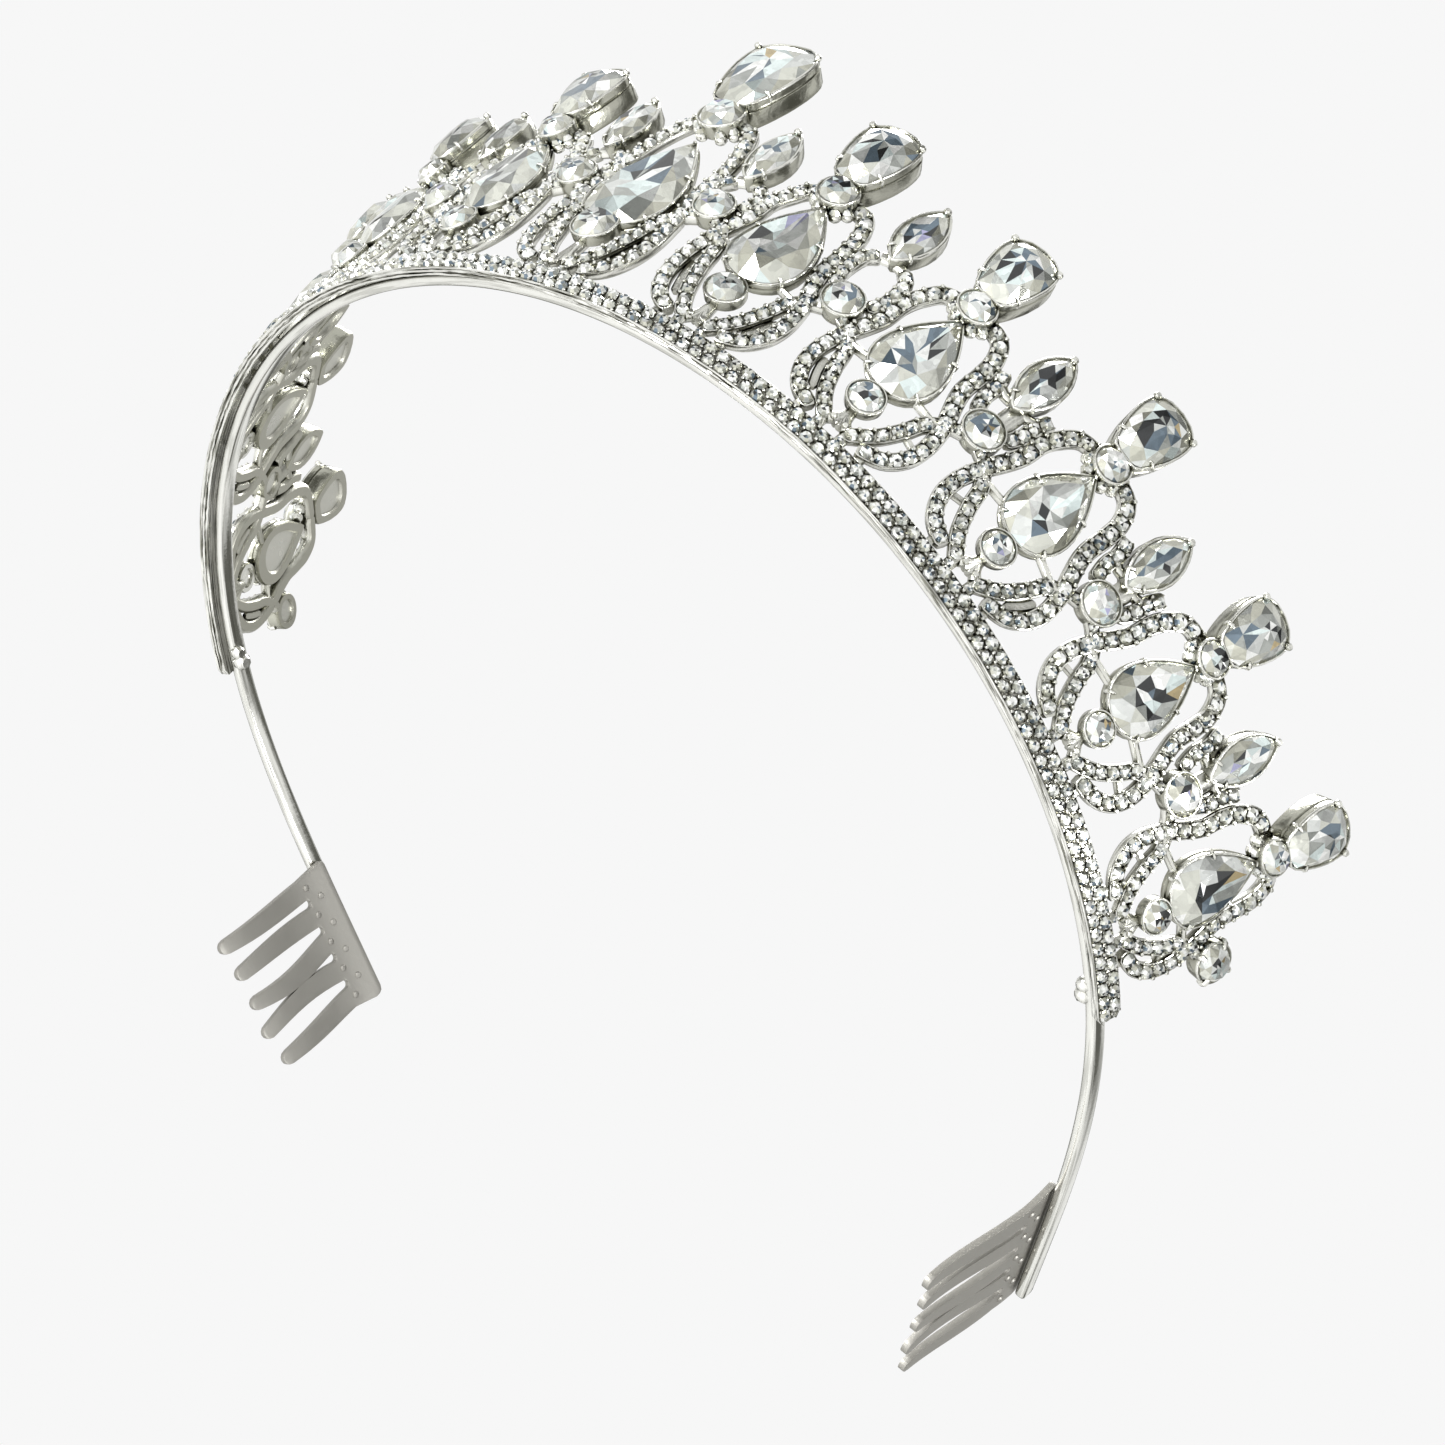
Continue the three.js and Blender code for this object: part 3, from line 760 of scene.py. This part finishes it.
# ==================================== rail, band and combs
def build_rail(rng):
    """The rail: a grooved underside with a thin lip, and two staggered rows of stones on the face."""
    metal = Form()
    pave = Form()
    lip = 0.2
    floor = RAIL_FRONT - 0.5
    groove = RAIL_BACK + 0.4
    front_groove = RAIL_FRONT - 0.42
    underside = [
        (RAIL_BACK, 0.03), (RAIL_BACK + 0.1, 0.0), (groove - 0.14, 0.0), (groove - 0.05, 0.16),
        (groove + 0.05, 0.16), (groove + 0.14, 0.0), (front_groove - 0.14, 0.0),
        (front_groove - 0.04, 0.14), (front_groove + 0.04, 0.14), (front_groove + 0.14, 0.0),
        (RAIL_FRONT - 0.1, 0.0),
    ]
    profile = underside + [
        (RAIL_FRONT, 0.08), (RAIL_FRONT - 0.02, lip),
        (RAIL_FRONT - 0.12, lip + 0.06), (floor, lip + 0.1), (floor, RAIL_HEIGHT - 0.2),
        (RAIL_FRONT - 0.3, RAIL_HEIGHT - 0.14), (RAIL_FRONT - 0.36, RAIL_HEIGHT - 0.03),
        (RAIL_FRONT - 0.5, RAIL_HEIGHT), (RAIL_BACK + 0.15, RAIL_HEIGHT),
        (RAIL_BACK, RAIL_HEIGHT - 0.15),
    ]
    middle = RAIL_HEIGHT / 2
    rings = []
    for s in np.linspace(-RAIL_END, RAIL_END, RAIL_STATIONS):
        end = min(RAIL_END - abs(s), RAIL_ROUNDING) / RAIL_ROUNDING
        shrink = 0.62 + 0.38 * math.sqrt(max(1 - (1 - end) ** 2, 0))
        ring = []
        for i, (o, h) in enumerate(profile):
            wave = rng.uniform(-0.07, 0.07) if 1 < i < len(underside) - 1 else 0.0
            lift = rng.uniform(0, 0.09) if i < len(underside) else 0.0
            ring.append((s, middle + (h + lift - middle) * shrink, o + wave))
        rings.append(ring)
    metal.rings(rings, clockwise=True)
    first = -(RAIL_END - 1.1)
    pitch = -2 * first / RAIL_STONES
    for row, h in enumerate((LOW_ROW, HIGH_ROW)):
        for i in range(RAIL_STONES + 1 - row):
            place = (first + (i + row / 2) * pitch + rng.uniform(-0.06, 0.06),
                     h + rng.uniform(-0.05, 0.05))
            small_gem(pave, *place, RAIL_FRONT - 0.26, PAVE_RADIUS * rng.uniform(0.94, 1.02), rng)
    between_rows = (LOW_ROW + HIGH_ROW) / 2
    for i in range(RAIL_STONES):
        s = first + (i + 0.5) * pitch
        metal.bead(s, LOW_ROW - 0.6, RAIL_FRONT - 0.15, 0.25)
        metal.bead(s + pitch / 2, HIGH_ROW + 0.58, RAIL_FRONT - 0.3, 0.25)
        metal.bead(s, between_rows - 0.2, RAIL_FRONT - 0.06, 0.24)
        metal.bead(s + pitch / 2, between_rows + 0.2, RAIL_FRONT - 0.06, 0.24)
    return metal, pave


def build_band():
    """The springy strip: a rounded rectangle with half-round tips, and two beads of solder by each
    end of the rail."""
    form = Form()
    half_thick = BAND_THICKNESS / 2
    half_high = (BAND_HIGH - BAND_LOW) / 2
    middle_o = BAND_OUTER - half_thick
    middle_h = (BAND_HIGH + BAND_LOW) / 2
    corner = 0.45
    profile = []
    for cx, cy, start in ((1, 1, 0), (-1, 1, 90), (-1, -1, 180), (1, -1, 270)):
        for step in range(4):
            angle = math.radians(start + step * 30)
            profile.append((cx * (half_thick - corner) + corner * math.cos(angle),
                            cy * (half_high - corner) + corner * math.sin(angle)))
    tip = 1 - np.cos(np.linspace(0.15, np.pi / 2, 6))
    stations = np.concatenate([-BAND_END + tip, np.linspace(-BAND_END + 2, BAND_END - 2, 240),
                               BAND_END - tip[::-1]])
    rings = []
    for s in stations:
        left = min(BAND_END - abs(s), 1.0)
        size = math.sqrt(max(1 - (1 - left) ** 2, 0.02))
        rings.append([(s, middle_h + b * size, middle_o + a * (0.35 + 0.65 * size))
                      for a, b in profile])
    form.rings(rings, clockwise=True)
    for side in (-1, 1):
        form.bead(side * (RAIL_END - 2.3), 1.5, BAND_OUTER - BAND_THICKNESS - 0.3, 1.35)
        form.bead(side * (RAIL_END - 3.9), 1.3, BAND_OUTER - BAND_THICKNESS - 0.15, 1.1)
    return form


def comb_outline():
    """The comb, flat: a straight top edge, rounded slots between the teeth and rounded tips."""
    pitch = COMB_WIDTH / TOOTH_COUNT
    middle = (TOOTH_COUNT - 1) / 2

    def edge(tooth, across, v):
        width = TOOTH_ROOT_WIDTH + (TOOTH_TIP_WIDTH - TOOTH_ROOT_WIDTH) * v ** 2
        drift = (TOOTH_SLANT + TOOTH_FAN * (tooth - middle)) * v ** 1.5
        sway = TOOTH_SWAY[tooth] * math.sin(math.pi * v)
        drop = v * TOOTH_LENGTH * TOOTH_REACH[tooth]
        return ((tooth + 0.5) * pitch + drift + sway + across * width / 2, SPINE_LOW - drop)

    points = [(0.7, COMB_TOP), (0.2, COMB_TOP - 0.15), (0, COMB_TOP - 0.6)]
    for tooth in range(TOOTH_COUNT):
        points += [edge(tooth, -1, v) for v in np.linspace(0, 0.95, 9)]
        tip_left = np.array(edge(tooth, -1, 0.96))
        tip_right = np.array(edge(tooth, 1, 0.96))
        centre = (tip_left + tip_right) / 2
        for step in range(1, 6):
            angle = math.pi + math.pi * step / 6
            points.append((centre[0] + TOOTH_TIP_WIDTH / 2 * math.cos(angle),
                           centre[1] + TOOTH_TIP_WIDTH / 2 * math.sin(angle)))
        points += [edge(tooth, 1, v) for v in np.linspace(0.95, 0, 9)]
        if tooth < TOOTH_COUNT - 1:
            a = np.array(edge(tooth, 1, 0))
            b = np.array(edge(tooth + 1, -1, 0))
            gap = np.linalg.norm(b - a) / 2
            for step in range(1, 6):
                angle = math.pi - math.pi * step / 6
                points.append(((a + b)[0] / 2 + gap * math.cos(angle),
                               a[1] + gap * math.sin(angle)))
    points += [(COMB_WIDTH, COMB_TOP - 1.4), (COMB_WIDTH - 0.15, COMB_TOP - 0.7),
               (COMB_WIDTH - 0.5, COMB_TOP - 0.2), (COMB_WIDTH - 1.2, COMB_TOP)]
    return np.array(points)


def comb_curl(h, o):
    """The offset o after the teeth's inward curl at height h."""
    down = np.maximum(SPINE_LOW + CURL_START - h, 0) / (TOOTH_LENGTH + CURL_START)
    return o - TOOTH_CURL * np.sin(np.minimum(down, 1.05) * np.pi / 2) ** 2


def build_comb(name, side):
    """The comb's sheet, cut into a fine grid to bend smoothly, then thickened, dimpled and curled."""
    pitch = COMB_WIDTH / TOOTH_COUNT
    bm = bmesh.new()
    bm.faces.new([bm.verts.new((x, h, 0)) for x, h in comb_outline()])
    levels = np.arange(COMB_TOP - 0.8, SPINE_LOW - TOOTH_LENGTH, -COMB_GRID)
    across = np.arange(0.5, 2 * TOOTH_COUNT, 0.5) * COMB_WIDTH / (2 * TOOTH_COUNT)
    cuts = [((0, level, 0), (0, 1, 0)) for level in levels]
    cuts += [((x, 0, 0), (1, 0, 0)) for x in across]
    for place, normal in cuts:
        geom = bm.verts[:] + bm.edges[:] + bm.faces[:]
        bmesh.ops.bisect_plane(bm, geom=geom, plane_co=place, plane_no=normal)
    for vert in bm.verts:
        vert.co.z = COMB_OUTER
    mesh = bpy.data.meshes.new(name)
    bm.to_mesh(mesh)
    bm.free()
    sheet = add_object(name, mesh)
    solid = sheet.modifiers.new("thickness", "SOLIDIFY")
    solid.thickness = COMB_THICKNESS
    solid.offset = -1
    bevel = sheet.modifiers.new("edges", "BEVEL")
    bevel.width = 0.24
    bevel.segments = 2
    bevel.limit_method = "ANGLE"
    bevel.angle_limit = math.radians(60)
    depsgraph = bpy.context.evaluated_depsgraph_get()
    mesh = bpy.data.meshes.new_from_object(sheet.evaluated_get(depsgraph))
    form = Form()
    form.add(mesh_points(mesh), [tuple(face.vertices) for face in mesh.polygons])
    bpy.data.objects.remove(sheet)
    for tooth in range(TOOTH_COUNT):
        dimples = [(tooth + 0.5, 0.9), (tooth + 1, 2.7)]
        for place, rise in dimples[:1 if tooth == TOOTH_COUNT - 1 else 2]:
            for o in (COMB_OUTER - COMB_THICKNESS, COMB_OUTER):
                form.bead(place * pitch, SPINE_LOW + rise, o, DIMPLE, squash=0.6)
    points = np.vstack(form.points)
    points[:, 2] = comb_curl(points[:, 1], points[:, 2])
    points[:, 0] = side * (COMB_START + points[:, 0])
    if side < 0:
        form.faces = [tuple(reversed(face)) for face in form.faces]
    form.points = [points]
    return form


# ==================================== materials
class Nodes:
    """The node tree of a material or world, with a short way to add and join nodes."""

    def __init__(self, owner):
        owner.use_nodes = True
        self.tree = owner.node_tree
        self.shader = self.tree.nodes.get("Principled BSDF")

    def set(self, inputs, node=None):
        """Join or set the inputs of a node, or of the surface shader."""
        sockets = (node or self.shader).inputs
        for key, value in inputs.items():
            if isinstance(value, bpy.types.NodeSocket):
                self.tree.links.new(value, sockets[key])
            else:
                sockets[key].default_value = value

    def add(self, kind, inputs=None, **settings):
        node = self.tree.nodes.new(kind)
        for key, value in settings.items():
            setattr(node, key, value)
        self.set(inputs or {}, node)
        return node

    def noise(self, vector, scale, detail):
        inputs = {"Vector": vector, "Scale": scale, "Detail": detail}
        return self.add("ShaderNodeTexNoise", inputs).outputs["Fac"]

    def spread(self, value, **ends):
        """The value mapped between ends: from_min, from_max, to_min and to_max."""
        inputs = {key.replace("_", " ").title(): end for key, end in ends.items()}
        return self.add("ShaderNodeMapRange", {"Value": value, **inputs}).outputs["Result"]

    def mixed(self, factor, a, b):
        inputs = {"Factor": factor, "A": a, "B": b}
        return self.add("ShaderNodeMix", inputs, data_type="FLOAT").outputs[0]

    def times(self, a, b):
        return self.add("ShaderNodeVectorMath", {0: a, 1: b}, operation="MULTIPLY").outputs[0]

    def ramp(self, factor, stops):
        node = self.add("ShaderNodeValToRGB", {"Fac": factor})
        elements = node.color_ramp.elements
        while len(elements) < len(stops):
            elements.new(0.5)
        for element, (position, colour) in zip(elements, stops):
            element.position = position
            element.color = (*colour, 1)
        return node.outputs["Color"]


def silver(name, bright, shade, rough, grain, streak=0.0, shade_reach_m=0.0022, back=0.0, mottle=1.0):
    """Plated metal: painted shade darkens its crevices by ambient occlusion; it has uneven polish,
    fine casting grain, and where asked drawn lines (streak) and a dull unpolished surface behind the
    offset back."""
    material = bpy.data.materials.new(name)
    nodes = Nodes(material)
    coords = nodes.add("ShaderNodeTexCoord").outputs["Object"]
    wall = nodes.add("ShaderNodeAttribute", attribute_name="wall").outputs["Vector"]
    # Painted shade: ambient occlusion darkens the metal's colour in crevices and between parts.
    crevice_shade = nodes.add("ShaderNodeAmbientOcclusion", {"Distance": shade_reach_m},
                        samples=6).outputs["AO"]
    blotch = nodes.noise(coords, 420.0, 3.0)
    uneven = nodes.add("ShaderNodeMath", {0: crevice_shade, 1: blotch}, operation="MULTIPLY").outputs[0]
    # edge is the painted shade mask, made blotchy; the ramp paints the shade colour where it is low.
    edge = nodes.mixed(0.3 * mottle, crevice_shade, uneven)
    colour = nodes.ramp(edge, [(0.25, shade), (0.72, bright)])
    fine = nodes.noise(coords, 1500.0, 4.0)
    polish = nodes.spread(blotch, from_min=0.3, from_max=0.7, to_min=rough * (1 - 0.4 * mottle),
                          to_max=rough * (1 + 0.5 * mottle))
    height = fine
    if streak:
        stretch = nodes.add("ShaderNodeMapping", {"Vector": wall, "Scale": (0.05, 1.0, 1.0)})
        lines = nodes.noise(stretch.outputs["Vector"], 2400.0, 2.0)
        height = nodes.mixed(streak, fine, lines)
        dark = nodes.ramp(lines, [(0.38, (0.30, 0.30, 0.27)), (0.48, (1.0, 1.0, 1.0))])
        colour = nodes.add("ShaderNodeMix", {"Factor": streak, "A": colour, "B": dark},
                           data_type="RGBA", blend_type="MULTIPLY").outputs[2]
    if back:
        off = nodes.add("ShaderNodeSeparateXYZ", {"Vector": wall}).outputs["Z"]
        front = nodes.spread(off, from_min=back * METRE, from_max=(back + 0.7) * METRE)
        dull = nodes.ramp(front, [(0.0, (0.60, 0.595, 0.55)), (1.0, (1.0, 1.0, 1.0))])
        colour = nodes.times(colour, dull)
        polish = nodes.mixed(front, 0.42, polish)
    facet = nodes.add("ShaderNodeAttribute", attribute_name="facet").outputs["Color"]
    bump = nodes.add("ShaderNodeBump", {"Height": height, "Strength": grain, "Distance": 0.0001})
    nodes.set({"Metallic": 1.0, "Base Color": nodes.times(colour, facet), "Roughness": polish,
               "Normal": bump.outputs["Normal"]})
    return material


def crystal(name, glow, rough):
    """Foiled crystal: each facet mirrors in its own painted reflection tone, under a clear gloss,
    with faint painted sparkle.
    """
    material = bpy.data.materials.new(name)
    nodes = Nodes(material)
    facet = nodes.add("ShaderNodeVertexColor", layer_name="facet").outputs["Color"]
    coords = nodes.add("ShaderNodeTexCoord").outputs["Object"]
    # Painted sparkle: small cells brighten or darken the facet tones.
    sparkle = nodes.add("ShaderNodeTexVoronoi", {"Vector": coords, "Scale": 900.0},
                        distance="CHEBYCHEV")
    inner = nodes.add("ShaderNodeSeparateColor", {"Color": sparkle.outputs["Color"]}).outputs["Red"]
    level = nodes.spread(inner, to_min=0.8, to_max=1.08)
    soft = nodes.spread(nodes.noise(coords, 260.0, 2.0), to_min=rough * 0.5, to_max=rough * 1.6)
    nodes.set({"Metallic": glow, "Base Color": nodes.times(facet, level), "Roughness": soft,
               "Coat Weight": 1.0, "Coat Roughness": 0.02, "Coat IOR": 1.6})
    return material


# ==================================== pieces
def piece(name, form, material, replaces=(), place=on_wall, smooth=None):
    """The form as one mesh. It keeps its wall coordinates and its faces' tones for the material."""
    points = np.vstack(form.points)
    world = place(points) * METRE
    mesh = bpy.data.meshes.new(name)
    mesh.from_pydata(world.tolist(), [], form.faces)
    mesh.materials.append(material)
    wall = mesh.attributes.new("wall", "FLOAT_VECTOR", "POINT")
    wall.data.foreach_set("vector", (points * METRE).astype(np.float32).ravel())
    tones = mesh.color_attributes.new("facet", "FLOAT_COLOR", "CORNER")
    corners = []
    for face, tone in zip(form.faces, form.tones):
        corners += [(*tone, 1.0)] * len(face)
    tones.data.foreach_set("color", np.array(corners, np.float32).ravel())
    if smooth is not None:
        mesh.shade_smooth()
        mesh.set_sharp_from_angle(angle=math.radians(smooth))
    mesh.update()
    obj = add_object(name, mesh)
    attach(obj, BODY)
    if replaces:
        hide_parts(*replaces)
    return obj


# ==================================== camera, light and floor
CAMERA_AZIMUTH = math.radians(48.65)
CAMERA_ELEVATION = math.radians(-37.09)
CAMERA_ROLL = math.radians(54.38)
CAMERA_DISTANCE = 0.4297
CAMERA_AIM = Vector((0.00812, -0.00698, 0.01417))
LENS = 82.69
SENSOR = 36
FLOOR_LEVEL = -0.5
FLOOR_REACH = 3.0


def camera_axes():
    level_cos = math.cos(CAMERA_ELEVATION)
    back = Vector((math.sin(CAMERA_AZIMUTH) * level_cos, -math.cos(CAMERA_AZIMUTH) * level_cos,
                   math.sin(CAMERA_ELEVATION)))
    level = Vector((math.cos(CAMERA_AZIMUTH), math.sin(CAMERA_AZIMUTH), 0))
    upward = back.cross(level)
    right = math.cos(CAMERA_ROLL) * level + math.sin(CAMERA_ROLL) * upward
    return right, back.cross(right), back


def set_camera():
    right, up, back = camera_axes()
    data = bpy.data.cameras.new("camera")
    data.lens = LENS
    data.sensor_width = SENSOR
    data.clip_start = 0.01
    camera = add_object("camera", data)
    turned = Matrix((right, up, back)).transposed().to_4x4()
    camera.matrix_world = Matrix.Translation(CAMERA_AIM + back * CAMERA_DISTANCE) @ turned
    bpy.context.scene.camera = camera


def area_light(name, right_m, up_m, back_m, size_m, power):
    """A soft round light placed from the camera's axes, aimed at the tiara."""
    right, up, back = camera_axes()
    data = bpy.data.lights.new(name, "AREA")
    data.shape = "DISK"
    data.size = size_m
    data.energy = power
    light = add_object(name, data)
    spot = CAMERA_AIM + right * right_m + up * up_m + back * back_m
    light.location = spot
    light.rotation_euler = (CAMERA_AIM - spot).to_track_quat("-Z", "Y").to_euler()


def set_world():
    """Soft patchy studio light. The camera sees plain white behind the floor."""
    world = bpy.data.worlds.new("studio")
    bpy.context.scene.world = world
    nodes = Nodes(world)
    nodes.tree.nodes.clear()
    coords = nodes.add("ShaderNodeTexCoord").outputs["Generated"]
    patches = [(0.43, (0.12, 0.12, 0.105)), (0.56, (0.88, 0.88, 0.86))]
    light = nodes.ramp(nodes.noise(coords, 2.4, 1.0), patches)
    lit = nodes.add("ShaderNodeBackground", {"Color": light, "Strength": 1.0})
    seen = nodes.add("ShaderNodeBackground", {"Color": (0.93, 0.93, 0.93, 1)})
    camera_ray = nodes.add("ShaderNodeLightPath").outputs["Is Camera Ray"]
    mix = nodes.add("ShaderNodeMixShader",
                    {"Fac": camera_ray, 1: lit.outputs[0], 2: seen.outputs[0]})
    nodes.add("ShaderNodeOutputWorld", {"Surface": mix.outputs[0]})


def set_floor():
    """A plain pale floor, well below the tiara, which floats above it."""
    bm = bmesh.new()
    bmesh.ops.create_grid(bm, x_segments=1, y_segments=1, size=FLOOR_REACH)
    mesh = bpy.data.meshes.new("floor")
    bm.to_mesh(mesh)
    bm.free()
    floor = add_object("floor", mesh)
    floor.location = (0, 0, FLOOR_LEVEL)
    material = bpy.data.materials.new("floor")
    nodes = Nodes(material)
    nodes.set({"Base Color": (0.9, 0.9, 0.89, 1), "Roughness": 0.9, "Emission Color": (1, 1, 1, 1),
               "Emission Strength": 0.28})
    mesh.materials.append(material)


# ==================================== assembly
def cut_stone(name, outline, centre, girdle, crown, material, rng, keel=None, replaces=()):
    form = Form()
    gem(form, outline, centre, girdle, crown, rng, keel=keel)
    piece(name, form, material, replaces)


def build():
    # The second colour given to each silver is the painted shade in its crevices.
    cast = silver("cast_silver", (0.86, 0.86, 0.82), (0.15, 0.148, 0.105), rough=0.17, grain=0.35,
                  back=CAST_BACK)
    railing = silver("rail_silver", (0.88, 0.88, 0.85), (0.11, 0.105, 0.07), rough=0.16, grain=0.8,
                     streak=1.0, shade_reach_m=0.0013)
    polished = silver("polished_silver", (0.86, 0.86, 0.83), (0.35, 0.345, 0.31), rough=0.1,
                      grain=0.18, streak=0.35)
    # The comb's silver is matte, and its colours are darkened as painted shade, for the comb's side
    # that faces away from the light.
    pressed_shaded = silver("pressed_silver_painted_shade", (0.385, 0.375, 0.35), (0.29, 0.282, 0.26), rough=0.5,
                     grain=0.15, shade_reach_m=0.0004, mottle=0.12)
    foiled = crystal("foiled_crystal", glow=0.75, rough=0.07)
    pave_crystal = crystal("pave_crystal", glow=0.7, rough=0.09)
    rng = random.Random(SEED)
    seats = seat_stones()
    for place, index in places().items():
        motif = Motif(place, index)
        outward = motif.outward
        metal, pave, stones = build_motif(motif, seats, rng)
        if index:
            side = "left" if index < 0 else "right"
            marquise = Stone(f"marquise_{side}_{abs(index)}")
            between_setting(metal, pave, seats[index - outward / 2], outward, marquise, rng)
            outline = marquise_outline(marquise.length, marquise.width, 16) + marquise.centre
            girdle = marquise.foot + MARQUISE_GIRDLE
            cut_stone(f"marquise_cut_{place}", outline, marquise.centre, girdle,
                      marquise.crown_top - girdle, foiled, rng, replaces=[marquise.node])
        if abs(index) == MOTIFS_PER_SIDE:
            between_setting(metal, pave, seats[index + outward / 2], -outward, None, rng)
        piece(f"casting_{place}", metal, cast, [f"frame_{place}"],
              smooth=SMOOTH_CAST)
        piece(f"pave_{place}", pave, pave_crystal)
        keels = {"main": (0, -0.12 * motif.main.length), "top": (0, 0.12 * motif.top.length)}
        replaced = {"main": [motif.main.node], "top": [motif.top.node]}
        for kind, (outline, centre, girdle, crown) in stones.items():
            keel = centre + keels[kind] if kind in keels else None
            cut_stone(f"{kind}_stone_{place}", outline[1::2], centre, girdle, crown, foiled, rng,
                      keel, replaced.get(kind, ()))
    for k, seat in seats.items():
        outline = round_outline(seat.width / 2, 16) + seat.centre
        side = "left" if k < 0 else "right"
        cut_stone(f"between_stone_{side}_{math.ceil(abs(k))}", outline, seat.centre,
                  seat.foot + SEAT_GIRDLE, SEAT_CROWN, foiled, rng, replaces=[seat.node])
    metal, pave = build_rail(rng)
    piece("rail", metal, railing, ["base_rail"], smooth=SMOOTH_CAST)
    piece("rail_pave", pave, pave_crystal)
    piece("band", build_band(), polished, ["headband"], place=upright,
          smooth=SMOOTH_SHEET)
    for name, side in (("left", -1), ("right", 1)):
        form = build_comb(f"comb_{name}_shape", side)
        piece(f"side_comb_{name}", form, pressed_shaded, [f"comb_{name}"], place=upright,
              smooth=SMOOTH_SHEET)


set_camera()
set_world()
set_floor()
area_light("key", right_m=-0.35, up_m=0.45, back_m=0.45, size_m=0.3, power=6)
area_light("fill", right_m=0.5, up_m=-0.25, back_m=0.35, size_m=0.25, power=3)
area_light("rim", right_m=0.1, up_m=0.35, back_m=-0.4, size_m=0.3, power=3)
bpy.context.scene.view_settings.view_transform = "Standard"
build()
